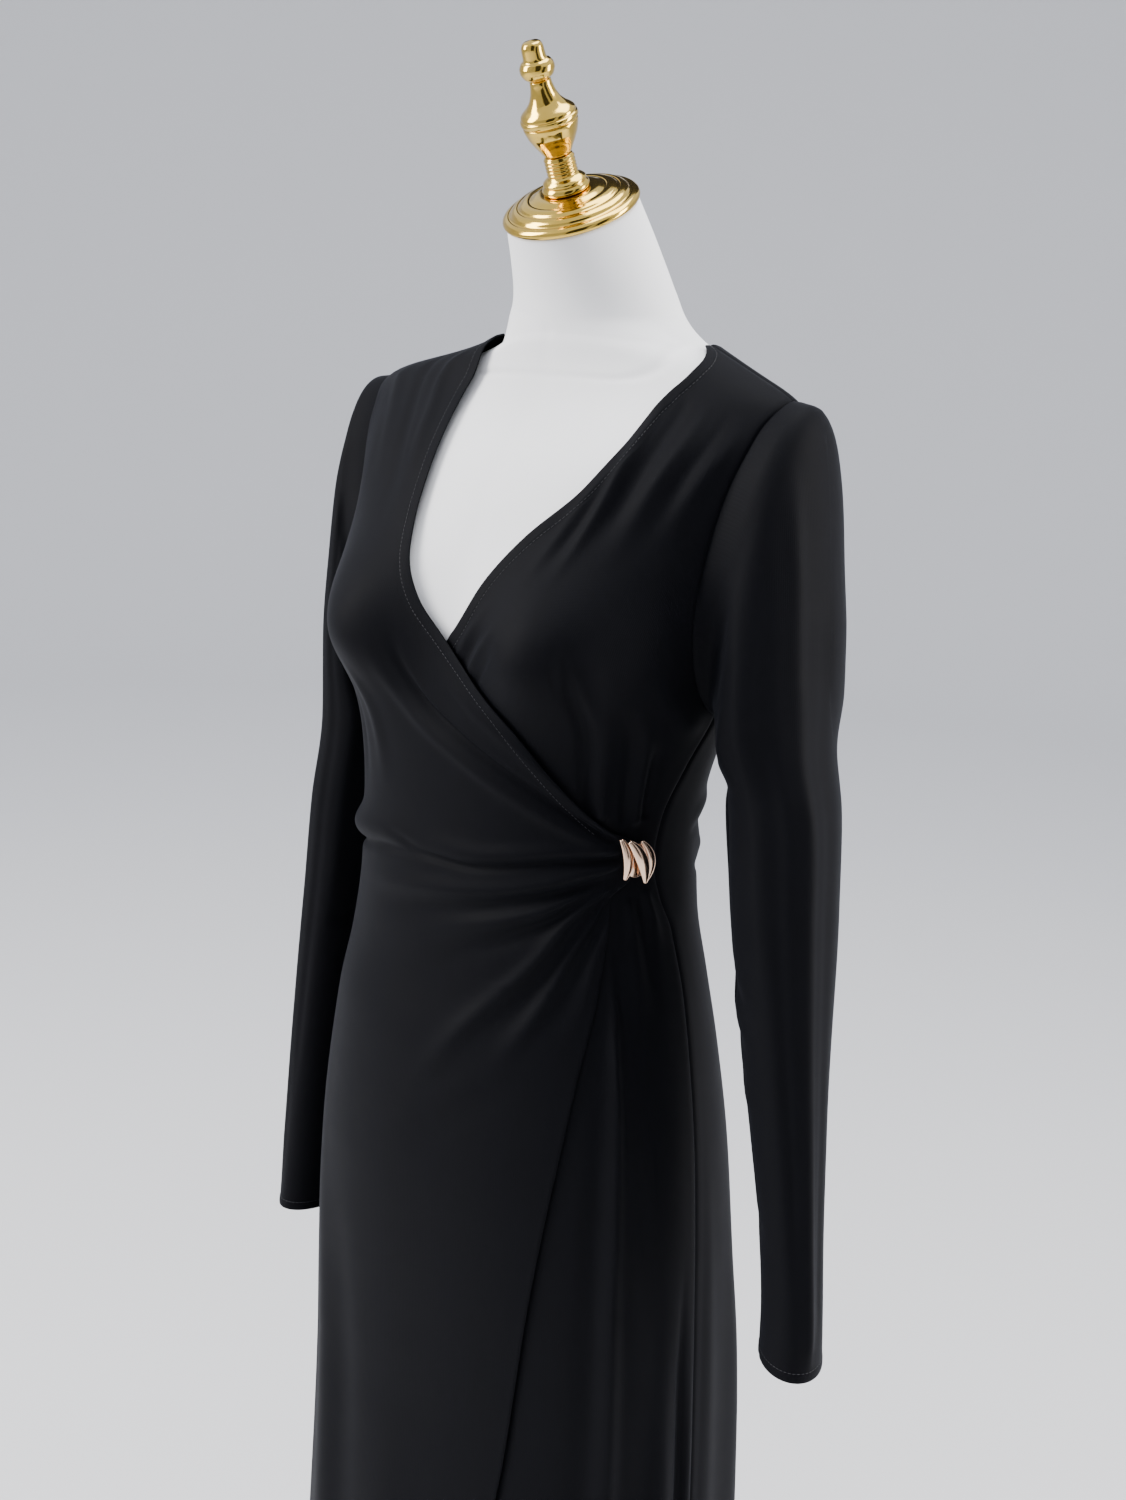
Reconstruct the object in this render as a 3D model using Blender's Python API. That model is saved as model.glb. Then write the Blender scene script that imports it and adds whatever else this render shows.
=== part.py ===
"""A long-sleeved wrap dress in knit jersey, worn by a limbless dress form on a stand.

Metres, +Z up. The origin is the centre of the stand's base, on the floor. The front of the
dress faces -Y and the wearer's left is +X. An angle round the body is 0 at the centre front
and 90 degrees at the wearer's left side.
"""

import math

import bpy
import numpy as np

# ---------------------------------------------------------------- driving dimensions
CLOTH = 0.0012  # thickness of every cloth wall
SEAM_GAP = 0.0003  # room between two pieces at a seam
LAYER_STEP = 0.0028  # the over front lies this far outside the under front and the back
FORM_INSET = 0.0066  # the form's skin lies this far inside the dress's outer surface

HEM_HEIGHT = 0.20
ARMHOLE_BOTTOM = 1.143
ARMHOLE_TOP = 1.350
ARMHOLE_FRONT = 0.047  # reach of the armhole in front of the side line
ARMHOLE_BACK = 0.050
LEFT_NECK_HEIGHT = 1.384  # top of the left shoulder seam
RIGHT_NECK_HEIGHT = 1.3895
SHOULDER_TILT = 0.035  # rise towards the wearer's left, for each metre across
BACK_NECK_DROP = 0.010

ARMHOLE_STEPS = 12  # panel rows from the bottom of an armhole to its top
FRONT_COLUMNS = 19
UNDER_COLUMNS = 18
BACK_COLUMNS = 14
FORM_COLUMNS = 36

# Level sections through the outside of the dress, hem to neck.
# height, half width, front, back, side line (y), roundness (2 is an ellipse)
BODY_SECTIONS = (
    (0.200, 0.1910, -0.122, 0.187, 0.013, 2.2),
    (0.400, 0.1865, -0.113, 0.174, 0.008, 2.2),
    (0.587, 0.1815, -0.107, 0.157, 0.003, 2.2),
    (0.648, 0.1795, -0.109, 0.148, 0.001, 2.2),
    (0.730, 0.1750, -0.1140, 0.129, 0.000, 2.2),
    (0.812, 0.1670, -0.1175, 0.118, 0.000, 2.2),
    (0.893, 0.1540, -0.117, 0.103, 0.000, 2.2),
    (0.944, 0.1435, -0.110, 0.092, 0.000, 2.2),
    (0.995, 0.1330, -0.113, 0.083, 0.000, 2.2),
    (1.036, 0.1295, -0.116, 0.083, 0.000, 2.2),
    (1.075, 0.1320, -0.115, 0.087, 0.000, 2.2),
    (1.110, 0.1390, -0.115, 0.096, 0.002, 2.2),
    (1.144, 0.1500, -0.113, 0.105, 0.004, 2.2),
    (1.180, 0.1580, -0.111, 0.112, 0.006, 2.2),
    (1.220, 0.1650, -0.103, 0.116, 0.009, 2.2),
    (1.260, 0.1720, -0.090, 0.114, 0.013, 2.2),
    (1.300, 0.1800, -0.070, 0.106, 0.017, 2.2),
    (1.325, 0.1870, -0.050, 0.092, 0.019, 2.1),
    (1.340, 0.1880, -0.036, 0.078, 0.020, 2.0),
    (1.352, 0.1760, -0.028, 0.070, 0.022, 2.0),
    (1.3635, 0.1500, -0.024, 0.068, 0.025, 2.0),
    (1.3735, 0.1220, -0.024, 0.072, 0.028, 2.0),
    (1.382, 0.0960, -0.026, 0.080, 0.031, 2.0),
    (1.388, 0.0805, -0.025, 0.087, 0.033, 2.0),
    (1.394, 0.0700, -0.020, 0.088, 0.034, 2.0),
)

# The form's neck above the shoulders: rings that lean forward as they rise.
# height of centre, y of centre, lean (degrees), half width, half depth
NECK_RINGS = (
    (1.4000, 0.0330, 5.0, 0.0610, 0.0520),
    (1.4080, 0.0315, 9.0, 0.0580, 0.0520),
    (1.4180, 0.0285, 12.0, 0.0555, 0.0515),
    (1.4380, 0.0190, 18.0, 0.0515, 0.0495),
    (1.4640, 0.0030, 27.0, 0.0460, 0.0460),
)
FORM_BOTTOM = 0.700
FORM_ROUNDING = 0.012  # how much smaller its flat bottom is all round

BUST_SIDE = 0.088  # centre of each breast from the centre front
BUST_HEIGHT = 1.185
BUST_OUT = 0.034
BUST_WIDTH = 0.052
BUST_ABOVE = 0.055
BUST_BELOW = 0.045

# Edges and seams on the body, as height and angle (degrees).
OVER_EDGE = (  # hem to the right side of the neck: skirt edge, clasp, wrap edge, neckline
    (0.200, 6.0),
    (0.400, 15.0),
    (0.560, 22.5),
    (0.700, 29.0),
    (0.830, 38.5),
    (0.945, 50.5),
    (0.985, 55.5),
    (1.018, 58.5),
    (1.030, 65.0),
    (1.055, 65.0),
    (1.064, 56.5),
    (1.098, 37.8),
    (1.140, 20.5),
    (1.184, 0.0),
    (1.208, -9.0),
    (1.243, -15.6),
    (1.272, -17.6),
    (1.310, -18.0),
    (1.335, -19.0),
    (1.352, -20.0),
    (1.3635, -23.0),
    (1.3735, -29.0),
    (1.381, -37.0),
    (1.3895, -54.0),
)
UNDER_EDGE = (  # hem to the left side of the neck; below the V it lies under the over front
    (0.200, -34.0),
    (0.600, -42.0),
    (0.950, -52.0),
    (1.056, -54.0),
    (1.098, -38.0),
    (1.140, -20.0),
    (1.184, 0.0),
    (1.227, 8.0),
    (1.257, 15.2),
    (1.290, 24.8),
    (1.318, 28.8),
    (1.340, 31.5),
    (1.352, 36.5),
    (1.365, 50.0),
    (1.384, 84.0),
)
LEFT_SEAM = (
    (0.200, 84.0),
    (0.700, 84.5),
    (0.930, 87.0),
    (0.985, 84.5),
    (1.012, 79.0),
    (1.040, 76.0),
    (1.065, 77.0),
    (1.100, 83.0),
    (1.140, 89.0),
    (1.384, 90.0),
)
RIGHT_SEAM_ANGLE = 90.0  # from the centre front, on the wearer's right

# The folds that the clasp gathers in the over front, each from the clasp outwards.
# start angle, start height, middle angle, middle height, end angle, end height, width, rise
OVER_FOLDS = (
    (60.0, 1.048, 20.0, 1.036, -46.0, 1.020, 0.011, 0.0050),
    (58.0, 1.034, 30.0, 1.024, -20.0, 1.000, 0.008, 0.0030),
    (57.0, 1.026, 36.0, 0.984, 2.0, 0.905, 0.010, 0.0035),
    (57.0, 1.018, 45.0, 0.985, 31.0, 0.935, 0.009, 0.0030),
)
# The soft pleats that hang from the clasp in the left side of the skirt.
LEFT_FOLDS = (
    (57.0, 0.990, 56.0, 0.750, 52.0, 0.200, 0.012, 0.0045),
    (72.0, 0.760, 72.0, 0.600, 71.0, 0.200, 0.014, 0.0060),
)
FOLD_RADIUS = 0.125  # turns an angle into a distance along the cloth when a fold is measured

# Rings of the two sleeves, each on its own side: first those of the head.
# inner point x, y, height; outer point x, y, height; half depth
LEFT_SLEEVE_HEAD = (
    (0.1515, 0.003, 1.1400, 0.1905, 0.022, 1.3480, 0.0480),
    (0.1535, 0.003, 1.1370, 0.1985, 0.021, 1.3410, 0.0485),
    (0.1558, 0.002, 1.1325, 0.2060, 0.020, 1.3160, 0.0500),
    (0.1580, 0.001, 1.1240, 0.2150, 0.017, 1.2580, 0.0510),
    (0.1600, 0.001, 1.1100, 0.2270, 0.013, 1.1720, 0.0520),
)
RIGHT_SLEEVE_HEAD = (
    (0.1510, 0.003, 1.1400, 0.1875, 0.022, 1.3470, 0.0480),
    (0.1515, 0.003, 1.1370, 0.1895, 0.021, 1.3390, 0.0485),
    (0.1515, 0.002, 1.1320, 0.1912, 0.019, 1.3120, 0.0500),
    (0.1505, 0.001, 1.1230, 0.1930, 0.015, 1.2500, 0.0510),
    (0.1475, 0.001, 1.1090, 0.1948, 0.011, 1.1700, 0.0520),
)
# Then those that hang: height, centre x, centre y, half width, half depth
LEFT_SLEEVE_TUBE = (
    (1.090, 0.1985, 0.008, 0.0380, 0.0540),
    (1.020, 0.2092, 0.003, 0.0355, 0.0490),
    (0.940, 0.2220, -0.003, 0.0312, 0.0440),
    (0.865, 0.2358, -0.009, 0.0260, 0.0395),
    (0.795, 0.2485, -0.015, 0.0219, 0.0358),
    (0.745, 0.2555, -0.018, 0.0211, 0.0350),
    (0.711, 0.2592, -0.021, 0.0217, 0.0345),
)
RIGHT_SLEEVE_TUBE = (
    (1.090, 0.1680, 0.008, 0.0295, 0.0530),
    (1.020, 0.1757, 0.003, 0.0285, 0.0500),
    (0.940, 0.1855, 0.000, 0.0265, 0.0440),
    (0.865, 0.1936, -0.003, 0.0243, 0.0400),
    (0.795, 0.1994, -0.006, 0.0225, 0.0372),
    (0.725, 0.2037, -0.009, 0.0213, 0.0352),
    (0.666, 0.2070, -0.012, 0.0211, 0.0350),
)
SLEEVE_HEAD_EGG = 0.10  # how much narrower the head's rings are near the underarm
LEFT_SLEEVE_TURN = 38.0  # how far the flat of the hanging sleeve turns from straight ahead
RIGHT_SLEEVE_TURN = 0.0

# Turned profiles about the leaning neck axis: height along the axis, radius.
CAP_PROFILE = (
    (0.0000, 0.0000), (0.0000, 0.0466), (0.0012, 0.0480), (0.0036, 0.0480), (0.0050, 0.0462),
    (0.0056, 0.0430), (0.0082, 0.0416), (0.0090, 0.0382), (0.0112, 0.0358), (0.0122, 0.0315),
    (0.0136, 0.0250), (0.0148, 0.0170), (0.0150, 0.0000),
)
COLLAR_PROFILE = (
    (0.0153, 0.0000), (0.0153, 0.0135), (0.0172, 0.0158), (0.0200, 0.0165), (0.0228, 0.0156),
    (0.0256, 0.0124), (0.0268, 0.0100), (0.0290, 0.0106), (0.0312, 0.0098), (0.0334, 0.0106),
    (0.0356, 0.0098), (0.0378, 0.0106), (0.0400, 0.0096), (0.0400, 0.0000),
)
URN_PROFILE = (
    (0.0403, 0.0000), (0.0403, 0.0096), (0.0450, 0.0122), (0.0500, 0.0150), (0.0555, 0.0178),
    (0.0610, 0.0192), (0.0632, 0.0186), (0.0648, 0.0196), (0.0680, 0.0196), (0.0694, 0.0186),
    (0.0715, 0.0182), (0.0760, 0.0140), (0.0810, 0.0104), (0.0860, 0.0082), (0.0915, 0.0073),
    (0.0915, 0.0000),
)
TIP_PROFILE = (
    (0.0918, 0.0000), (0.0918, 0.0078), (0.0940, 0.0104), (0.0975, 0.0119), (0.1005, 0.0117),
    (0.1035, 0.0100), (0.1046, 0.0078), (0.1130, 0.0075), (0.1160, 0.0058), (0.1170, 0.0000),
)

# The clasp: three overlapping leaves cast side by side on a small plate.
CLASP_ANGLE = 66.0
CLASP_HEIGHT = 1.0435
# sideways, up, lean (degrees), length, width, stand-off
CLASP_LEAVES = (
    (-0.0068, -0.001, 14.0, 0.036, 0.0105, 0.0062),
    (0.0010, -0.002, 10.0, 0.037, 0.0130, 0.0100),
    (0.0085, -0.001, 4.0, 0.031, 0.0090, 0.0062),
)
CLASP_PLATE = (0.018, 0.024, 0.0014)  # width, height, thickness

BASE_RADIUS = 0.155
BASE_THICKNESS = 0.022
HUB_RADIUS = 0.026
HUB_HEIGHT = 0.050
POLE_RADIUS = 0.0125
SOCKET_RADIUS = 0.030
SOCKET_HEIGHT = 0.040

# Finishes: colour, roughness, metallic
BLACK_JERSEY = ((0.010, 0.010, 0.013), 0.62, 0.0)
WHITE_COVER = ((0.80, 0.79, 0.77), 0.85, 0.0)
POLISHED_GOLD = ((0.83, 0.62, 0.26), 0.14, 1.0)
ROSE_GOLD = ((0.86, 0.58, 0.46), 0.10, 1.0)


# ---------------------------------------------------------------- curves and surfaces
def smooth_curve(rows):
    """A function of the first column that passes smoothly, with no overshoot, through each row."""
    table = np.array(rows, float)
    known, values = table[:, 0], table[:, 1:]
    step = np.diff(known)[:, None]
    rise = np.diff(values, axis=0) / step
    slope = np.zeros_like(values)
    slope[0], slope[-1] = rise[0], rise[-1]
    before, after = 2 * step[1:] + step[:-1], step[1:] + 2 * step[:-1]
    same_way = rise[:-1] * rise[1:] > 0
    safe = np.where(same_way, rise[:-1], 1), np.where(same_way, rise[1:], 1)
    mean = (before + after) / (before / safe[0] + after / safe[1])
    slope[1:-1] = np.where(same_way, mean, 0)

    def at(position):
        position = np.asarray(position, float)
        index = np.clip(np.searchsorted(known, position) - 1, 0, len(step) - 1)
        width = step[index]
        t = np.clip((position - known[index])[..., None] / width, 0, 1)
        low = (1 + 2 * t) * (1 - t) ** 2 * values[index] + t * (1 - t) ** 2 * width * slope[index]
        high = t * t * (3 - 2 * t) * values[index + 1] + t * t * (t - 1) * width * slope[index + 1]
        return low + high

    return at


body_section = smooth_curve(BODY_SECTIONS)


def bust(across, height):
    """How far the bust pushes the front of a section outwards."""
    tall = np.where(height > BUST_HEIGHT, BUST_ABOVE, BUST_BELOW)
    sides = np.exp(-(((across - BUST_SIDE) / BUST_WIDTH) ** 2))
    sides = sides + np.exp(-(((across + BUST_SIDE) / BUST_WIDTH) ** 2))
    return BUST_OUT * np.minimum(sides, 1) * np.exp(-(((height - BUST_HEIGHT) / tall) ** 2))


def ease_between(value, low, high):
    """0 below low, 1 above high, and smooth in between."""
    t = np.clip((value - low) / (high - low), 0, 1)
    return t * t * (3 - 2 * t)


def shoulder_tilt(across, height):
    """The form stands a little higher at its left shoulder."""
    return SHOULDER_TILT * across * ease_between(height, 1.15, 1.33) * ease_between(-height, -1.44, -1.39)


def body_skin(angle, height):
    """Points on the outside of the dress's body, at an angle in radians and a height."""
    angle, height = np.broadcast_arrays(np.asarray(angle, float), np.asarray(height, float))
    half_width, front, back, side, roundness = np.moveaxis(body_section(height), -1, 0)
    sine, cosine = np.sin(angle), np.cos(angle)
    reach = (np.abs(sine) ** roundness + np.abs(cosine) ** roundness) ** (1 / roundness)
    x = half_width * sine / reach
    y = side + np.where(cosine > 0, front - side, side - back) * cosine / reach
    y = y - np.clip(2 * cosine, 0, 1) * bust(x, height)
    return np.stack([x, y, height + shoulder_tilt(x, height)], axis=-1)


def body_offset(angle, height, out):
    """Points on the body moved out along its normal, by an amount that may vary."""
    turn, lift = 1e-3, 1e-4
    around = body_skin(angle + turn, height) - body_skin(angle - turn, height)
    upward = body_skin(angle, height + lift) - body_skin(angle, height - lift)
    normal = np.cross(around, upward)
    normal /= np.linalg.norm(normal, axis=-1, keepdims=True)
    return body_skin(angle, height) + normal * np.asarray(out)[..., None]


def fold_rise(folds, angle, height):
    """The rise of soft ridges that run along curved lines in the cloth."""
    total = np.zeros(np.broadcast(angle, height).shape)
    here = np.stack(np.broadcast_arrays(angle * FOLD_RADIUS, height), axis=-1)
    for start_a, start_h, mid_a, mid_h, end_a, end_h, width, rise in folds:
        t = np.linspace(0, 1, 41)[:, None]
        ends = [(start_a, start_h), (2 * mid_a - (start_a + end_a) / 2,
                                     2 * mid_h - (start_h + end_h) / 2), (end_a, end_h)]
        ends = [np.array((math.radians(a) * FOLD_RADIUS, h)) for a, h in ends]
        line = (1 - t) ** 2 * ends[0] + 2 * t * (1 - t) * ends[1] + t * t * ends[2]
        away = np.linalg.norm(here[..., None, :] - line, axis=-1)
        nearest = away.argmin(axis=-1)
        along = t[nearest, 0]
        spread = width * (0.55 + 0.9 * along)
        fade = np.clip(along * 5, 0.35, 1) * (1 - along**3)
        total = np.maximum(total, rise * fade * np.exp(-((away.min(axis=-1) / spread) ** 2)))
    return total


def armhole_angle(height, reach):
    """The angle where an armhole's edge crosses a height, measured from the centre front or back."""
    half_width, front, back, side, roundness = np.moveaxis(body_section(height), -1, 0)
    middle, half = (ARMHOLE_TOP + ARMHOLE_BOTTOM) / 2, (ARMHOLE_TOP - ARMHOLE_BOTTOM) / 2
    oval = np.sqrt(np.clip(1 - ((height - middle) / half) ** 2, 0, 1))
    depth = side - front if reach > 0 else back - side
    level = np.clip(abs(reach) * oval / depth, 0, 0.98)
    return np.arctan2((1 - level**roundness) ** (1 / roundness), level)


# ---------------------------------------------------------------- making objects
def clear_scene():
    for thing in list(bpy.data.objects):
        bpy.data.objects.remove(thing, do_unlink=True)


def material(name, finish):
    """An object's own material, from its finish: colour, roughness, metallic."""
    colour, roughness, metallic = finish
    made = bpy.data.materials.new(name)
    made.use_nodes = True
    shader = made.node_tree.nodes["Principled BSDF"]
    shader.inputs["Base Color"].default_value = (*colour, 1)
    shader.inputs["Roughness"].default_value = roughness
    shader.inputs["Metallic"].default_value = metallic
    return made


def add_object(name, points, faces, finish):
    mesh = bpy.data.meshes.new(name)
    mesh.from_pydata([tuple(map(float, p)) for p in points], [], faces)
    mesh.validate()
    mesh.materials.append(material(name, finish))
    mesh.shade_smooth()
    mesh.set_sharp_from_angle(angle=math.radians(40))
    made = bpy.data.objects.new(name, mesh)
    bpy.context.scene.collection.objects.link(made)
    return made


def cloth_wall(name, outer, inner, tube=False):
    """A closed wall between two grids of points, rows by columns, open or closed round the columns."""
    rows, columns = outer.shape[:2]
    points = np.concatenate([outer.reshape(-1, 3), inner.reshape(-1, 3)])
    inside = rows * columns
    across = columns if tube else columns - 1
    faces = []
    for r in range(rows - 1):
        for c in range(across):
            a, b = r * columns + c, r * columns + (c + 1) % columns
            faces.append((a, b, b + columns, a + columns))
            faces.append((a + inside, a + columns + inside, b + columns + inside, b + inside))
    for c in range(across):
        a, b = c, (c + 1) % columns
        faces.append((b, a, a + inside, b + inside))
        a, b = a + (rows - 1) * columns, b + (rows - 1) * columns
        faces.append((a, b, b + inside, a + inside))
    if not tube:
        for r in range(rows - 1):
            a, b = r * columns, (r + 1) * columns
            faces.append((a, b, b + inside, a + inside))
            a, b = a + columns - 1, b + columns - 1
            faces.append((b, a, a + inside, b + inside))
    return add_object(name, points, faces, BLACK_JERSEY)


def closed_rings(name, rings, finish):
    """A solid through rings of points, bottom to top, closed by a flat face at each end."""
    count = len(rings[0])
    faces = [tuple(reversed(range(count)))]
    for r in range(len(rings) - 1):
        for c in range(count):
            a, b = r * count + c, r * count + (c + 1) % count
            faces.append((a, b, b + count, a + count))
    faces.append(tuple(range((len(rings) - 1) * count, len(rings) * count)))
    return add_object(name, np.concatenate(rings), faces, finish)


def turned(name, profile, finish, steps=32, origin=(0, 0, 0), lean=0.0):
    """A solid turned about an axis that leans forward from vertical; its profile starts and ends on it."""
    turn = np.linspace(0, 2 * math.pi, steps, endpoint=False)
    circle = np.stack([np.sin(turn), -np.cos(turn), np.zeros(steps)], axis=-1)
    tilt = lean_matrix(lean)
    points = [np.array([[0, 0, profile[0][0]]])]
    points += [circle * radius + (0, 0, height) for height, radius in profile[1:-1]]
    points.append(np.array([[0, 0, profile[-1][0]]]))
    rings = len(profile) - 2
    last = 1 + rings * steps
    faces = []
    for c in range(steps):
        after = (c + 1) % steps
        faces.append((0, 1 + after, 1 + c))
        for r in range(rings - 1):
            a, b = 1 + r * steps + c, 1 + r * steps + after
            faces.append((a, b, b + steps, a + steps))
        faces.append((last - steps + c, last - steps + after, last))
    return add_object(name, np.concatenate(points) @ tilt.T + origin, faces, finish)


def lean_matrix(degrees):
    """Turns +Z towards the front, -Y."""
    sine, cosine = math.sin(math.radians(degrees)), math.cos(math.radians(degrees))
    return np.array([[1, 0, 0], [0, cosine, -sine], [0, sine, cosine]])


# ---------------------------------------------------------------- the dress
def panel_heights(top):
    """Row heights that every body panel shares, so that facets of neighbours lie alike."""
    skirt = [HEM_HEIGHT, 0.34, 0.48, 0.60, 0.70, 0.79, 0.87, 0.93]
    waist = [0.968, 0.996, 1.014, 1.028, 1.040, 1.052, 1.064, 1.080, 1.098, 1.112, 1.126]
    steps = np.linspace(math.pi, 0, ARMHOLE_STEPS + 1)
    middle, half = (ARMHOLE_TOP + ARMHOLE_BOTTOM) / 2, (ARMHOLE_TOP - ARMHOLE_BOTTOM) / 2
    armhole = list(middle + half * np.cos(steps))
    shoulder = list(ARMHOLE_TOP + (top - ARMHOLE_TOP) * np.array((0.28, 0.54, 0.80, 1)))
    return np.array(skirt + waist + armhole + shoulder)


def side_limits(heights, seam, reach):
    """The angle of a panel's outer edge from the centre front or back: seam, armhole, shoulder."""
    in_armhole = (heights > ARMHOLE_BOTTOM + 1e-6) & (heights < ARMHOLE_TOP - 1e-6)
    return np.where(in_armhole, np.minimum(armhole_angle(heights, reach), seam), seam)


def seam_allowance(heights):
    """Half a seam gap, as an angle."""
    return SEAM_GAP / 2 / body_section(heights)[..., 0]


def panel_grid(heights, left, right, columns):
    share = np.linspace(0, 1, columns)
    angle = left[:, None] + (right - left)[:, None] * share
    return angle, np.broadcast_to(heights[:, None], angle.shape)


def right_front():
    """The over front: it wraps across to the clasp, and its folds fan out from there."""
    heights = panel_heights(RIGHT_NECK_HEIGHT)
    seam = np.full(heights.shape, math.radians(RIGHT_SEAM_ANGLE))
    left = -side_limits(heights, seam, ARMHOLE_FRONT) + seam_allowance(heights)
    right = np.radians(smooth_curve(OVER_EDGE)(heights)[:, 0])
    angle, height = panel_grid(heights, left, right, FRONT_COLUMNS)
    drop = LAYER_STEP * (1 - ease_between(angle, math.radians(-88), math.radians(-62)))
    out = fold_rise(OVER_FOLDS, angle, height) - drop
    outer, inner = body_offset(angle, height, out), body_offset(angle, height, out - CLOTH)
    return cloth_wall("dress_right_front", outer, inner)


def left_front():
    """The under front: it runs on beneath the over front to the far side."""
    heights = panel_heights(LEFT_NECK_HEIGHT)
    seam = np.radians(smooth_curve(LEFT_SEAM)(heights)[:, 0])
    right = side_limits(heights, seam, ARMHOLE_FRONT) - seam_allowance(heights)
    left = np.radians(smooth_curve(UNDER_EDGE)(heights)[:, 0])
    angle, height = panel_grid(heights, left, right, UNDER_COLUMNS)
    clear = np.radians(smooth_curve(OVER_EDGE)(heights)[:, 0])[:, None]
    shown = ease_between(angle, clear + 0.02, clear + 0.16)
    out = fold_rise(LEFT_FOLDS, angle, height) * shown - LAYER_STEP
    outer, inner = body_offset(angle, height, out), body_offset(angle, height, out - CLOTH)
    return cloth_wall("dress_left_front", outer, inner)


def back():
    """The back, from side seam to side seam, with a shallow round neck."""
    left_heights, right_heights = panel_heights(LEFT_NECK_HEIGHT), panel_heights(RIGHT_NECK_HEIGHT)
    left_seam = math.pi - np.radians(smooth_curve(LEFT_SEAM)(left_heights)[:, 0])
    right_seam = np.full(right_heights.shape, math.radians(180 - RIGHT_SEAM_ANGLE))
    left = math.pi - side_limits(left_heights, left_seam, -ARMHOLE_BACK) + seam_allowance(left_heights)
    right = math.pi + side_limits(right_heights, right_seam, -ARMHOLE_BACK)
    right = right - seam_allowance(right_heights)
    share = np.linspace(0, 1, BACK_COLUMNS)
    angle = left[:, None] + (right - left)[:, None] * share
    height = left_heights[:, None] + (right_heights - left_heights)[:, None] * share
    rising = ease_between(height, ARMHOLE_TOP - 0.06, LEFT_NECK_HEIGHT)
    height = height - BACK_NECK_DROP * rising * np.sin(math.pi * share) ** 2
    out = np.full(angle.shape, -LAYER_STEP)
    outer, inner = body_offset(angle, height, out), body_offset(angle, height, out - CLOTH)
    return cloth_wall("dress_back", outer, inner)


def armhole_ring(side):
    """A sleeve's first ring, which follows the armhole's edge."""
    turn = np.linspace(0, 2 * math.pi, 2 * ARMHOLE_STEPS, endpoint=False)
    middle, half = (ARMHOLE_TOP + ARMHOLE_BOTTOM) / 2, (ARMHOLE_TOP - ARMHOLE_BOTTOM) / 2
    height = middle + half * np.cos(turn)
    in_front = armhole_angle(height, ARMHOLE_FRONT)
    behind = math.pi - armhole_angle(height, -ARMHOLE_BACK)
    angle = np.where(turn <= math.pi, in_front, behind) * side
    return body_offset(angle, height, np.full(angle.shape, SEAM_GAP - LAYER_STEP))


def sleeve_rings(side, head, tube, twist):
    """Rings down a sleeve from its armhole; side is 1 on the wearer's left and -1 on the right."""
    turn = np.linspace(0, 2 * math.pi, 2 * ARMHOLE_STEPS, endpoint=False)[:, None]
    rings = []
    for ix, iy, iz, ox, oy, oz, depth in head:
        low, high = np.array((ix, iy, iz)), np.array((ox, oy, oz))
        forward = np.array((0, -depth, 0))
        egg = np.sin(turn) * (1 + SLEEVE_HEAD_EGG * np.cos(turn))
        rings.append((low + high) / 2 + np.cos(turn) * (high - low) / 2 + egg * forward)
    yaw = math.radians(twist)
    outward = np.array((math.cos(yaw), math.sin(yaw), 0))
    forward = np.array((math.sin(yaw), -math.cos(yaw), 0))
    for height, x, y, width, depth in tube:
        around = np.cos(turn) * outward * width + np.sin(turn) * forward * depth
        rings.append(np.array((x, y, height)) + around)
    rings = np.array(rings) * (side, 1, 1)
    rings[..., 2] += shoulder_tilt(rings[..., 0], rings[..., 2])
    return np.concatenate([armhole_ring(side)[None], rings])


def sleeve(name, side, head, tube, twist):
    """A set-in sleeve, hanging empty from its armhole."""
    outer = sleeve_rings(side, head, tube, twist)
    spoke = outer - outer.mean(axis=1, keepdims=True)
    spoke /= np.linalg.norm(spoke, axis=-1, keepdims=True)
    outer[0] -= spoke[0] * 2 * SEAM_GAP
    inner = outer - spoke * CLOTH
    if side > 0:
        outer, inner = outer[:, ::-1], inner[:, ::-1]
    return cloth_wall(name, outer[::-1], inner[::-1], tube=True)


# ---------------------------------------------------------------- the clasp
def clasp_frame():
    """The clasp's centre on the cloth, and the directions sideways, up and outwards there."""
    angle, height = math.radians(CLASP_ANGLE), CLASP_HEIGHT
    centre = body_skin(angle, height)
    sideways = body_skin(angle + 0.02, height) - body_skin(angle - 0.02, height)
    sideways /= np.linalg.norm(sideways)
    up = np.array((0.0, 0.0, 1.0))
    outwards = np.cross(sideways, up)
    return centre, sideways, up, outwards


def clasp_leaf(name, leaf):
    """One pointed leaf: a domed lens, its tips towards the top and the bottom."""
    sideways, up, lean, length, width, stand_off = leaf
    centre, across, above, outwards = clasp_frame()
    along = np.linspace(0, 1, 9)
    half = width / 2 * np.sin(math.pi * along) ** 0.75 + 0.0006
    turn = math.radians(lean)
    tip = np.array((math.sin(turn), -math.cos(turn)))
    side = np.array((math.cos(turn), math.sin(turn)))
    rings = []
    for share, reach in zip(along, half):
        spine = np.array((sideways, up)) + tip * length * (share - 0.5)
        ring = []
        for step in range(10):
            a = 2 * math.pi * step / 10
            flat = spine + side * reach * math.cos(a)
            out = stand_off + 0.0012 * math.sin(a) * (0.3 + reach / (width / 2))
            out -= 0.0010 * (2 * share - 1) ** 2
            ring.append(centre + across * flat[0] + above * flat[1] + outwards * out)
        rings.append(np.array(ring))
    return closed_rings(name, rings, ROSE_GOLD)


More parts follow.
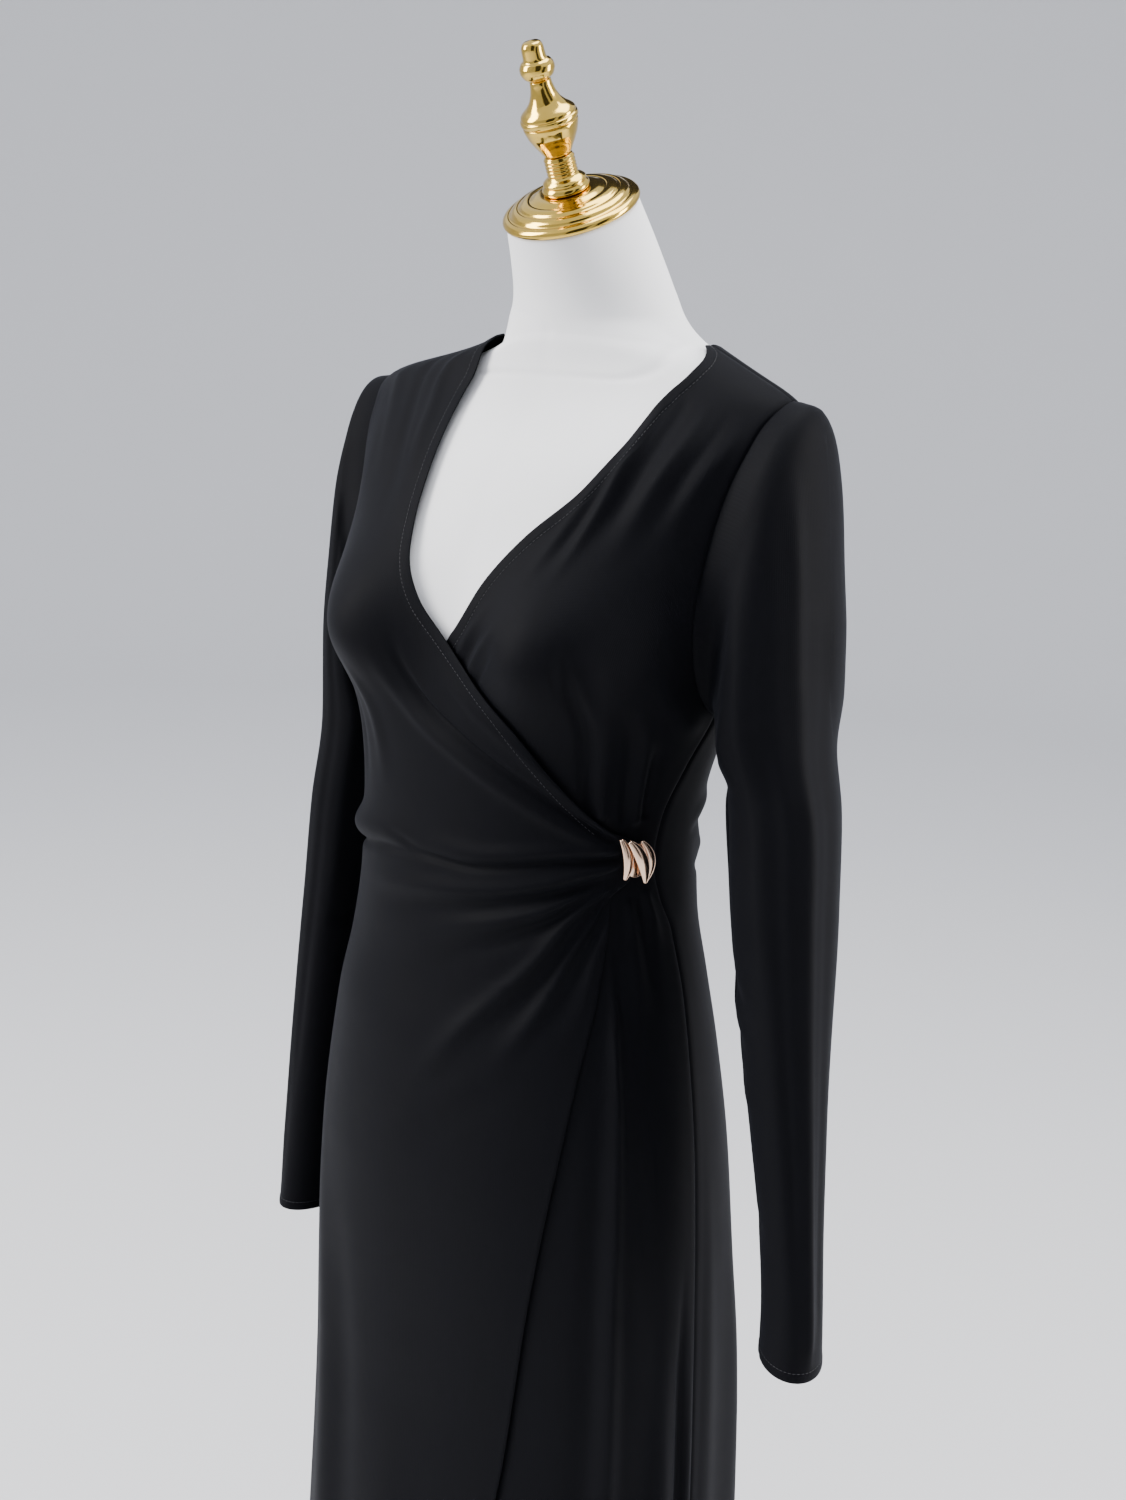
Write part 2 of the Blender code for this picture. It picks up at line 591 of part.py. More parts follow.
def clasp_plate():
    """The flat plate behind the leaves, which the gathered cloth is fastened to."""
    centre, across, above, outwards = clasp_frame()
    width, height, thickness = CLASP_PLATE
    rings = []
    for out in (0.0026, 0.0026 + thickness):
        ring = []
        for step in range(16):
            a = 2 * math.pi * step / 16
            flat = across * math.cos(a) * width / 2 + above * math.sin(a) * height / 2
            ring.append(centre + flat + outwards * out)
        rings.append(np.array(ring))
    return closed_rings("clasp_plate", rings, ROSE_GOLD)


# ---------------------------------------------------------------- the form and its stand
def form_torso():
    """The solid torso and neck, with no limbs, a little inside the dress all over."""
    turn = np.linspace(0, 2 * math.pi, FORM_COLUMNS, endpoint=False)
    heights = np.concatenate([
        [FORM_BOTTOM], np.linspace(0.73, 1.00, 8), np.linspace(1.03, 1.30, 14),
        [1.315, 1.328, 1.338, 1.347, 1.356, 1.365, 1.374, 1.3815, 1.387],
    ])
    rings = []
    for height in heights:
        inset = FORM_INSET + (FORM_ROUNDING if height == FORM_BOTTOM else 0.0)
        rings.append(body_offset(turn, np.full(turn.shape, height), np.full(turn.shape, -inset)))
    rings[0][:, 2] = FORM_BOTTOM
    for height, y, lean, width, depth in NECK_RINGS:
        flat = np.stack([width * np.sin(turn), -depth * np.cos(turn), 0 * turn], axis=-1)
        rings.append(flat @ lean_matrix(lean).T + (0, y, height))
    return closed_rings("form_torso", rings, WHITE_COVER)


def neck_top():
    """The middle of the neck's top and its lean."""
    height, y, lean = NECK_RINGS[-1][:3]
    axis = lean_matrix(lean) @ (0, 0, 1)
    return np.array((0, y, height)) + axis * SEAM_GAP, lean


def neck_trim():
    """The stepped cap on the neck, and the collar, urn and tip of its finial."""
    origin, lean = neck_top()
    turned("neck_cap", CAP_PROFILE, POLISHED_GOLD, 36, origin, lean)
    turned("finial_collar", COLLAR_PROFILE, POLISHED_GOLD, 20, origin, lean)
    turned("finial_urn", URN_PROFILE, POLISHED_GOLD, 24, origin, lean)
    turned("finial_tip", TIP_PROFILE, POLISHED_GOLD, 18, origin, lean)


def stand():
    """The round base, its hub, the pole, and the socket under the torso."""
    top = BASE_THICKNESS
    turned("stand_base", (
        (0, 0), (0, BASE_RADIUS - 0.003), (0.003, BASE_RADIUS), (0.009, BASE_RADIUS),
        (0.014, BASE_RADIUS - 0.010), (top, HUB_RADIUS + 0.030), (top, 0),
    ), POLISHED_GOLD, 48)
    start = top + SEAM_GAP
    turned("stand_hub", (
        (start, 0), (start, HUB_RADIUS + 0.010), (start + 0.006, HUB_RADIUS + 0.008),
        (start + 0.012, HUB_RADIUS - 0.004), (start + HUB_HEIGHT - 0.008, POLE_RADIUS + 0.006),
        (start + HUB_HEIGHT, POLE_RADIUS + 0.004), (start + HUB_HEIGHT, 0),
    ), POLISHED_GOLD, 28)
    pole_foot = start + HUB_HEIGHT + SEAM_GAP
    pole_head = FORM_BOTTOM - SOCKET_HEIGHT - 2 * SEAM_GAP
    turned("stand_pole", (
        (pole_foot, 0), (pole_foot, POLE_RADIUS), (pole_head, POLE_RADIUS), (pole_head, 0),
    ), POLISHED_GOLD, 20)
    foot = pole_head + SEAM_GAP
    turned("stand_socket", (
        (foot, 0), (foot, POLE_RADIUS + 0.004), (foot + 0.010, POLE_RADIUS + 0.006),
        (foot + SOCKET_HEIGHT - 0.008, SOCKET_RADIUS), (foot + SOCKET_HEIGHT, SOCKET_RADIUS),
        (foot + SOCKET_HEIGHT, 0),
    ), POLISHED_GOLD, 24)


def main():
    clear_scene()
    right_front()
    left_front()
    back()
    sleeve("dress_left_sleeve", 1, LEFT_SLEEVE_HEAD, LEFT_SLEEVE_TUBE, LEFT_SLEEVE_TURN)
    sleeve("dress_right_sleeve", -1, RIGHT_SLEEVE_HEAD, RIGHT_SLEEVE_TUBE, RIGHT_SLEEVE_TURN)
    for name, leaf in zip(("front", "middle", "rear"), CLASP_LEAVES):
        clasp_leaf("clasp_leaf_" + name, leaf)
    clasp_plate()
    form_torso()
    neck_trim()
    stand()


main()
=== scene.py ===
"""A long-sleeved wrap dress in black knit jersey on a white dress form with a gold cap and stand.

Metres, +Z up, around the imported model. The front of the dress faces -Y, the wearer's left is +X,
and an angle round the body is 0 at the centre front and 90 degrees at the wearer's left.
"""

import math

import bpy
import numpy as np
from mathutils import Matrix, Vector


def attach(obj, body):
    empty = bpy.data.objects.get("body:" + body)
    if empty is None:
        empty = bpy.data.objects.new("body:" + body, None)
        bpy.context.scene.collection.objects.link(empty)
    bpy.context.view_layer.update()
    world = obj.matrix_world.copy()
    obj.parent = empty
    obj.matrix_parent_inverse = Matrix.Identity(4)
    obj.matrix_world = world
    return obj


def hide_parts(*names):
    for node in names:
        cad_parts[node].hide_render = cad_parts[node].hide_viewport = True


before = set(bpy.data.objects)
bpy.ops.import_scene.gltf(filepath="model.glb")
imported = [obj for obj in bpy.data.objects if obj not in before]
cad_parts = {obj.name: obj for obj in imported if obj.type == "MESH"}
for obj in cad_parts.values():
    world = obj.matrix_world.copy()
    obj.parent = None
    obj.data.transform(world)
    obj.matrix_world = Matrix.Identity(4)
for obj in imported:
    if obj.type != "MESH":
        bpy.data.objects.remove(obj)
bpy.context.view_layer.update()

# ---------------------------------------------------------------- sizes shared with the solids
LAYER_STEP = 0.0028  # the over front lies this far outside the under front and the back
FORM_INSET = 0.0066  # the form's skin lies this far inside the dress's outer surface
SEAM_GAP = 0.0003  # between neighbouring pieces
HEM_HEIGHT = 0.2
ARMHOLE_BOTTOM = 1.143
ARMHOLE_TOP = 1.35
ARMHOLE_MIDDLE = (ARMHOLE_TOP + ARMHOLE_BOTTOM) / 2
ARMHOLE_HALF = (ARMHOLE_TOP - ARMHOLE_BOTTOM) / 2
ARMHOLE_FRONT = 0.047
ARMHOLE_BACK = 0.05
LEFT_NECK_HEIGHT = 1.384
RIGHT_NECK_HEIGHT = 1.3895
SHOULDER_TILT = 0.035  # rise of the shoulders for each metre towards the left
BACK_NECK_DROP = 0.014  # the back neck dips this far at its middle
NECK_WIDER, NECK_NARROWER, NECK_LOWER = 0.011, 0.017, 0.008  # left side, right side, right side

# height, half width, front, back, side line (y), roundness
BODY_SECTIONS = (
    (0.2, 0.191, -0.122, 0.187, 0.013, 2.2),
    (0.4, 0.1865, -0.113, 0.174, 0.008, 2.2),
    (0.587, 0.1815, -0.107, 0.157, 0.003, 2.2),
    (0.648, 0.1795, -0.109, 0.148, 0.001, 2.2),
    (0.73, 0.175, -0.114, 0.129, 0.0, 2.2),
    (0.812, 0.167, -0.1175, 0.118, 0.0, 2.2),
    (0.893, 0.154, -0.117, 0.103, 0.0, 2.2),
    (0.944, 0.1435, -0.11, 0.092, 0.0, 2.2),
    (0.995, 0.133, -0.113, 0.083, 0.0, 2.2),
    (1.036, 0.1295, -0.116, 0.083, 0.0, 2.2),
    (1.075, 0.132, -0.115, 0.087, 0.0, 2.2),
    (1.11, 0.139, -0.115, 0.096, 0.002, 2.2),
    (1.144, 0.15, -0.113, 0.105, 0.004, 2.2),
    (1.18, 0.158, -0.111, 0.112, 0.006, 2.2),
    (1.22, 0.165, -0.103, 0.116, 0.009, 2.2),
    (1.26, 0.172, -0.09, 0.114, 0.013, 2.2),
    (1.3, 0.18, -0.07, 0.106, 0.017, 2.2),
    (1.325, 0.187, -0.05, 0.092, 0.019, 2.1),
    (1.34, 0.188, -0.036, 0.078, 0.02, 2.0),
    (1.352, 0.176, -0.028, 0.07, 0.022, 2.0),
    (1.3635, 0.15, -0.024, 0.068, 0.025, 2.0),
    (1.3735, 0.122, -0.024, 0.072, 0.028, 2.0),
    (1.382, 0.096, -0.026, 0.08, 0.031, 2.0),
    (1.388, 0.0805, -0.025, 0.087, 0.033, 2.0),
    (1.394, 0.07, -0.02, 0.088, 0.034, 2.0),
)
# height of centre, y of centre, lean (degrees), half width, half depth, wider on the left by
NECK_RINGS = (
    (1.4, 0.033, 5.0, 0.061, 0.052, 0.0085),
    (1.408, 0.0315, 9.0, 0.058, 0.052, 0.0065),
    (1.418, 0.0285, 12.0, 0.0555, 0.0515, 0.004),
    (1.439, 0.019, 18.0, 0.0515, 0.0495, 0.001),
    (1.4668, 0.003, 27.0, 0.046, 0.046, 0.0),
)
NECK_SEAM = (  # angle (radians), height
    (-3.2, 1.392), (-1.6, 1.39), (-1.15, 1.385), (-0.32, 1.359),
    (0.32, 1.359), (1.15, 1.385), (1.6, 1.39), (3.2, 1.392),
)
SECTION_BLUR = ((-0.009, 0.15), (-0.0045, 0.22), (0.0, 0.26), (0.0045, 0.22), (0.009, 0.15))
FORM_BOTTOM = 0.7
FORM_ROUNDING = 0.012
BUST_SIDE, BUST_HEIGHT, BUST_OUT = 0.088, 1.185, 0.034
BUST_WIDTH, BUST_ABOVE, BUST_BELOW, BUST_FULLNESS = 0.052, 0.055, 0.045, 2.25

# Edges and seams: height, angle (degrees)
OVER_EDGE = (
    (0.2, 6.0), (0.4, 15.0), (0.56, 22.5), (0.7, 29.0), (0.83, 38.5), (0.945, 50.5),
    (0.985, 55.5), (1.018, 58.5), (1.03, 65.0), (1.055, 65.0), (1.064, 56.5), (1.098, 37.8),
    (1.14, 20.5), (1.184, 0.0), (1.208, -9.0), (1.243, -15.6), (1.272, -17.6), (1.31, -18.0),
    (1.335, -19.0), (1.352, -20.0), (1.3635, -23.0), (1.3735, -29.0), (1.381, -37.0),
    (1.3895, -54.0),
)
UNDER_EDGE = (
    (0.2, -34.0), (0.6, -42.0), (0.95, -52.0), (1.056, -54.0), (1.098, -38.0),
    (1.14, -20.0), (1.184, 0.0), (1.227, 8.0), (1.257, 15.2), (1.29, 24.8), (1.318, 28.8),
    (1.34, 31.5), (1.352, 36.5), (1.365, 50.0), (1.384, 84.0),
)
LEFT_SEAM = (
    (0.2, 84.0), (0.7, 84.5), (0.93, 87.0), (0.985, 84.5), (1.012, 79.0), (1.04, 76.0),
    (1.065, 77.0), (1.1, 83.0), (1.14, 89.0), (1.384, 90.0),
)
RIGHT_SEAM_ANGLE = 90.0
FOLD_RADIUS = 0.125  # turns an angle into a distance along the cloth

# inner point x, y, height; outer point x, y, height; half depth
LEFT_SLEEVE_HEAD = (
    (0.1515, 0.003, 1.14, 0.19, 0.022, 1.345, 0.048),
    (0.1535, 0.003, 1.137, 0.1975, 0.021, 1.337, 0.0485),
    (0.1558, 0.002, 1.1325, 0.2045, 0.02, 1.315, 0.05),
    (0.158, 0.001, 1.124, 0.2145, 0.017, 1.258, 0.051),
    (0.16, 0.001, 1.11, 0.2262, 0.013, 1.172, 0.052),
)
RIGHT_SLEEVE_HEAD = (
    (0.151, 0.003, 1.14, 0.1875, 0.022, 1.347, 0.048),
    (0.1515, 0.003, 1.137, 0.1895, 0.021, 1.339, 0.0485),
    (0.1515, 0.002, 1.132, 0.1912, 0.019, 1.312, 0.05),
    (0.1505, 0.001, 1.123, 0.193, 0.015, 1.25, 0.051),
    (0.1475, 0.001, 1.109, 0.1948, 0.011, 1.17, 0.052),
)
# height, centre x, centre y, half width, half depth
LEFT_SLEEVE_TUBE = (
    (1.09, 0.1985, 0.008, 0.038, 0.054), (1.02, 0.2092, 0.003, 0.0355, 0.049),
    (0.94, 0.222, -0.003, 0.0312, 0.044), (0.865, 0.2358, -0.009, 0.026, 0.0395),
    (0.795, 0.2485, -0.015, 0.0219, 0.0358), (0.745, 0.2555, -0.018, 0.0211, 0.035),
    (0.711, 0.2592, -0.021, 0.0217, 0.0345),
)
RIGHT_SLEEVE_TUBE = (
    (1.09, 0.168, 0.008, 0.0295, 0.053), (1.02, 0.1757, 0.003, 0.0285, 0.05),
    (0.94, 0.1855, 0.0, 0.0265, 0.044), (0.865, 0.1936, -0.003, 0.0243, 0.04),
    (0.795, 0.1994, -0.006, 0.0225, 0.0372), (0.725, 0.2037, -0.009, 0.0213, 0.0352),
    (0.666, 0.207, -0.012, 0.0211, 0.035),
)
SLEEVE_HEAD_EGG = 0.1
LEFT_SLEEVE_TURN = 38.0
RIGHT_SLEEVE_TURN = 0.0
TUCK = 0.0016  # how far a sleeve's edge runs under the panels at its armhole
SLEEVE_RADIUS = 0.042  # turns an angle round a sleeve into a distance along its cloth

# ---------------------------------------------------------------- sizes of the fine work
THREAD_STEP = 0.0031  # from one stitch to the next
THREAD_LENGTH = 0.0022
THREAD_RADIUS = 0.00022
WALL = 0.0009  # thickness of the jersey
EDGE_TURNING = 0.0076  # width turned in along a free edge
HEM_TURNING = 0.018
CUFF_TURNING = 0.0065
FREE_EDGE = (0.0, 0.0005, 0.0012, 0.0024, 0.004, 0.0056, 0.0066, 0.0072, 0.0078, 0.0084, 0.0096, 0.0125)
SEAM_EDGE = (
    0.0, 0.0005, 0.0011, 0.0018, 0.0028, 0.004, 0.0054, 0.007, 0.0088, 0.0108, 0.013, 0.0155, 0.018,
)
MIDDLE_COLUMNS = 92
HEM_ROWS = (0, 0.0006, 0.0014, 0.003, 0.006, 0.01, 0.014, 0.017, 0.0178, 0.0186, 0.02, 0.023)
CUFF_ROWS = (0, 0.0006, 0.0014, 0.0028, 0.0044, 0.0056, 0.0065, 0.0074, 0.0086, 0.011, 0.018)
SLEEVE_HEAD_ROWS = (0, 0.0006, 0.0014, 0.0024, 0.004, 0.0065)
SKIRT_ROWS, WAIST_ROWS, ARMHOLE_ROWS, SHOULDER_ROWS, SLEEVE_ROWS = 112, 86, 73, 14, 190
SKIRT_TOP = 0.95
ARMHOLE_EVEN = 0.18  # the share of the armhole's rows that is evenly spaced
EDGE_SHARE, SEAM_SHARE = 0.42, 0.45  # the most of a panel's width that its edge columns may take
COLUMN_REACH, COLUMN_BLUR = 0.026, 0.012  # how slowly the columns beside a seam may move with height
SEAM_CALM = 0.014  # creases fade out over this distance from a seam
OVER_DEPTH, UNDER_DEPTH, BACK_DEPTH = 0.0042, 0.0034, 0.003  # the deepest troughs
COVERED_DEPTH = 0.0017  # the under front lies this much flatter where the over front covers it
OVER_LAP = 0.04  # the over front steps down to the back over this distance
OVER_STITCH_FOOT, UNDER_STITCH_FOOT = 1.062, 1.175  # topstitching stops at these heights
SLEEVE_SIDES = 128

# Creases: rise, width at its start and end (all mm), the shares of its length over which it
# fades in and out, how wide its left side is against its right, and its line as (degrees, metres).
OVER_CREASES = (
    # the band along the wrap edge, and the line that follows it into the clasp
    (1.9, 6, 4, 0.3, 0.1, 1, ((-8, 1.176), (2, 1.158), (12, 1.139), (24, 1.121), (38, 1.096), (50, 1.074),
        (60, 1.058))),
    (-3.5, 3.2, 2.2, 0.35, 0.05, 0.7, ((-15, 1.2), (-12.5, 1.165), (-6.5, 1.142), (8.5, 1.12),
        (27.8, 1.096), (44, 1.075), (61, 1.053))),
    (3.5, 7, 5, 0.35, 0.1, 1, ((-21, 1.19), (-18, 1.155), (-9, 1.13), (8, 1.107), (27, 1.084), (43, 1.066),
        (59, 1.05))),
    # the roll of cloth at the waist and the crease under it
    (6.8, 10, 9, 0.25, 0.55, 1.2, ((-100, 1.022), (-80, 1.024), (-62, 1.026), (-48, 1.028), (-34, 1.035),
        (-18, 1.043), (0, 1.044))),
    (-4.6, 3.4, 3, 0.25, 0.35, 1.3, ((-92, 1.006), (-70, 1.01), (-48, 1.014), (-36, 1.02), (-25.8, 1.025),
        (-12, 1.028), (2, 1.026))),
    (-3.8, 3.2, 2.6, 0.35, 0.04, 1, ((-27, 1.046), (-16, 1.038), (-5, 1.032), (11, 1.031), (24, 1.035),
        (41.5, 1.042), (62, 1.045))),
    (3.2, 8, 4, 0.45, 0.06, 1, ((-12, 1.05), (0, 1.043), (14, 1.041), (30, 1.046), (45, 1.051),
        (62, 1.05))),
    # the fan below the clasp
    (3.8, 4, 11, 0.06, 0.5, 1, ((63, 1.041), (48, 1.034), (34, 1.024), (16, 1.015), (-4, 1.008),
        (-26, 0.999), (-44, 0.992))),
    (-4.6, 2.8, 12, 0.05, 0.6, 1, ((63, 1.038), (50, 1.026), (38, 1.018), (22, 1.007), (4, 0.996),
        (-14, 0.986), (-34, 0.976))),
    (3.8, 3.4, 10, 0.05, 0.6, 1, ((62, 1.035), (50, 1.021), (40, 1.01), (26, 0.998), (10, 0.985),
        (-6, 0.97))),
    (-4.6, 2.6, 10, 0.05, 0.6, 1, ((62, 1.033), (52, 1.02), (44, 1.008), (34, 0.994), (22, 0.98),
        (8, 0.964), (-4, 0.948))),
    (4.3, 3, 9, 0.05, 0.4, 0.8, ((61, 1.03), (53, 1.017), (44.5, 1.002), (35, 0.974), (25, 0.949),
        (14, 0.92), (2.5, 0.884), (-9, 0.852))),
    (-3.8, 2.4, 11, 0.05, 0.6, 1, ((60, 1.028), (53, 1.01), (46, 0.992), (38, 0.966), (28, 0.935),
        (16, 0.9))),
    (4.1, 2.6, 7.5, 0.05, 0.4, 0.8, ((60, 1.026), (54.5, 1.01), (49, 0.993), (41, 0.966), (34.5, 0.94),
        (28, 0.915), (18, 0.88))),
    (-3.2, 2.4, 10, 0.05, 0.6, 1, ((59, 1.022), (55, 1.004), (49, 0.982), (42, 0.95), (34, 0.914))),
    (2.4, 2.4, 8, 0.05, 0.6, 1, ((59, 1.018), (56, 0.998), (51, 0.972), (44, 0.936), (38, 0.905))),
    # soft drags over the hip and a hanging pleat on the far side
    (1.9, 8, 16, 0.4, 0.5, 1, ((30, 0.9), (12, 0.865), (-8, 0.835), (-28, 0.82))),
    (-1.6, 8, 14, 0.4, 0.5, 1, ((26, 0.885), (8, 0.846), (-12, 0.812))),
    (3.5, 9, 17, 0.45, 0, 1, ((-50, 0.86), (-46, 0.74), (-41, 0.6), (-37, 0.42), (-35, 0.2))),
    (-2.2, 9, 15, 0.45, 0, 1, ((-36, 0.8), (-30, 0.64), (-27, 0.42), (-26, 0.2))),
    (4.6, 10, 18, 0.45, 0, 1, ((-84, 0.9), (-78, 0.7), (-74, 0.45), (-72, 0.2))),
    (-2.7, 9, 15, 0.45, 0, 1, ((-66, 0.84), (-61, 0.64), (-58, 0.4), (-57, 0.2))),
    (2.2, 12, 20, 0.5, 0, 1, ((-12, 0.62), (-10, 0.42), (-10, 0.2))),
    # from the far shoulder, beside the neckline
    (1.8, 3, 6, 0.2, 0.5, 1, ((-42, 1.377), (-31, 1.352), (-26, 1.325), (-24, 1.29), (-24, 1.25))),
    (-1.6, 3, 6, 0.2, 0.5, 1, ((-52, 1.372), (-38, 1.345), (-32, 1.315), (-29.5, 1.28), (-28, 1.24))),
    (1.4, 4, 8, 0.2, 0.5, 1, ((-62, 1.362), (-46, 1.338), (-39, 1.31), (-36, 1.27))),
    # from the bust point towards the waist on the far side
    (1.9, 5, 9, 0.3, 0.5, 1, ((-36, 1.16), (-30, 1.13), (-26, 1.095), (-24, 1.06))),
    (-1.6, 5, 8, 0.3, 0.5, 1, ((-48, 1.15), (-43, 1.115), (-40, 1.08), (-40, 1.05))),
    (-2.2, 6, 9, 0.25, 0.6, 1, ((-86, 1.15), (-72, 1.165), (-60, 1.172), (-50, 1.17))),
    (1.9, 6, 9, 0.25, 0.6, 1, ((-84, 1.128), (-70, 1.14), (-58, 1.144))),
)
UNDER_CREASES = (
    # from the near shoulder down to the bust
    (4, 3.4, 5.4, 0.55, 0.45, 0.7, ((40, 1.368), (35, 1.35), (32.4, 1.33), (31.6, 1.305), (31, 1.282),
        (29.6, 1.258), (27.5, 1.225))),
    (-3.4, 3.6, 5.4, 0.55, 0.45, 1, ((46, 1.366), (40, 1.346), (37, 1.325), (36, 1.3), (35, 1.275),
        (33.5, 1.245))),
    (2.6, 4, 6.5, 0.55, 0.5, 1, ((52, 1.362), (46, 1.342), (43, 1.318), (41.2, 1.29), (40, 1.262),
        (38.5, 1.235))),
    (-2.2, 4, 6.5, 0.55, 0.5, 1, ((57, 1.352), (51, 1.33), (47.6, 1.302), (46, 1.272), (45, 1.245))),
    (1.8, 5, 7.5, 0.5, 0.5, 1, ((60, 1.34), (55, 1.312), (52, 1.282), (51, 1.25))),
    (1.8, 2.8, 4.4, 0.4, 0.5, 1, ((29.6, 1.318), (27.6, 1.294), (25.2, 1.27), (22, 1.244), (19, 1.222))),
    (-1.4, 2.6, 4.2, 0.4, 0.5, 1, ((31, 1.306), (29, 1.282), (26.6, 1.256), (24, 1.232))),
    # small folds where the neckline dips under the wrap
    (1.6, 2.2, 3.4, 0.1, 0.6, 1, ((3, 1.17), (6, 1.186), (9.5, 1.203), (13, 1.216))),
    (-1.8, 1.8, 3, 0.1, 0.6, 1, ((5.4, 1.166), (8.6, 1.183), (12.4, 1.2))),
    (1.8, 2.2, 3.8, 0.1, 0.6, 1, ((7.6, 1.161), (11.4, 1.178), (15.5, 1.195), (20, 1.208))),
    (-1.4, 2, 3.4, 0.1, 0.6, 1, ((10.4, 1.156), (14.4, 1.173), (18.6, 1.188))),
    # hanging from the bust into the clasp
    (-5, 4.2, 2.4, 0.4, 0.05, 1.3, ((37.5, 1.208), (40, 1.18), (42.8, 1.145), (44.8, 1.115), (46.2, 1.09),
        (47.6, 1.066))),
    (4.2, 9, 4.2, 0.4, 0.05, 1, ((43, 1.2), (46.6, 1.165), (49.4, 1.13), (51.4, 1.098), (53.4, 1.068))),
    (-3, 6, 3, 0.4, 0.05, 1, ((55, 1.155), (58, 1.125), (60, 1.095), (61.5, 1.068))),
    (2.6, 6, 3, 0.4, 0.05, 1, ((61, 1.15), (63.5, 1.118), (65, 1.09), (66, 1.066))),
    (-2.6, 4.6, 2.6, 0.4, 0.05, 1, ((67, 1.128), (68, 1.1), (69, 1.07))),
    (-2.6, 12, 9, 0.2, 0.5, 1, ((86, 1.15), (78, 1.172), (70, 1.2), (64, 1.235))),
    (1.6, 9, 8, 0.25, 0.5, 1, ((86, 1.128), (76, 1.14), (66, 1.16), (58, 1.185))),
    # small drags below the clasp
    (2.2, 3, 6, 0.08, 0.6, 1, ((72, 1.02), (75, 0.998), (78, 0.97))),
    (-2.2, 2.6, 6, 0.08, 0.6, 1, ((69, 1.02), (71, 0.99), (72, 0.955), (72, 0.92))),
    (2.2, 3, 7, 0.08, 0.6, 1, ((65, 1.018), (66, 0.985), (66, 0.945), (65, 0.9))),
    # the turned-in pleat of the under skirt
    (6.4, 4, 18, 0.12, 0, 0.35, ((57.4, 1), (56.6, 0.95), (56.4, 0.9), (54.9, 0.806), (53, 0.716),
        (52, 0.6), (51, 0.4), (50, 0.2))),
    (-2.6, 4, 13, 0.25, 0, 1, ((55.4, 0.96), (51.4, 0.88), (47.6, 0.78), (45.4, 0.64), (44.4, 0.4),
        (43.6, 0.2))),
    (-3.8, 7, 12, 0.4, 0.5, 1, ((61, 0.85), (63, 0.76), (66, 0.69), (67, 0.64))),
    # the deep groove low on the side, with a ridge on each side of it
    (-8, 2.4, 4.6, 0.3, 0, 1, ((79, 0.76), (77.8, 0.7), (76.8, 0.645), (77, 0.564), (76.5, 0.4),
        (76, 0.2))),
    (7, 7, 15, 0.4, 0, 1, ((72, 0.74), (70.5, 0.68), (69.4, 0.62), (69, 0.56), (68.5, 0.4), (68, 0.2))),
    (5, 5, 8, 0.3, 0, 1, ((84, 0.74), (82.6, 0.66), (82, 0.56), (81.6, 0.4), (81.2, 0.2))),
)
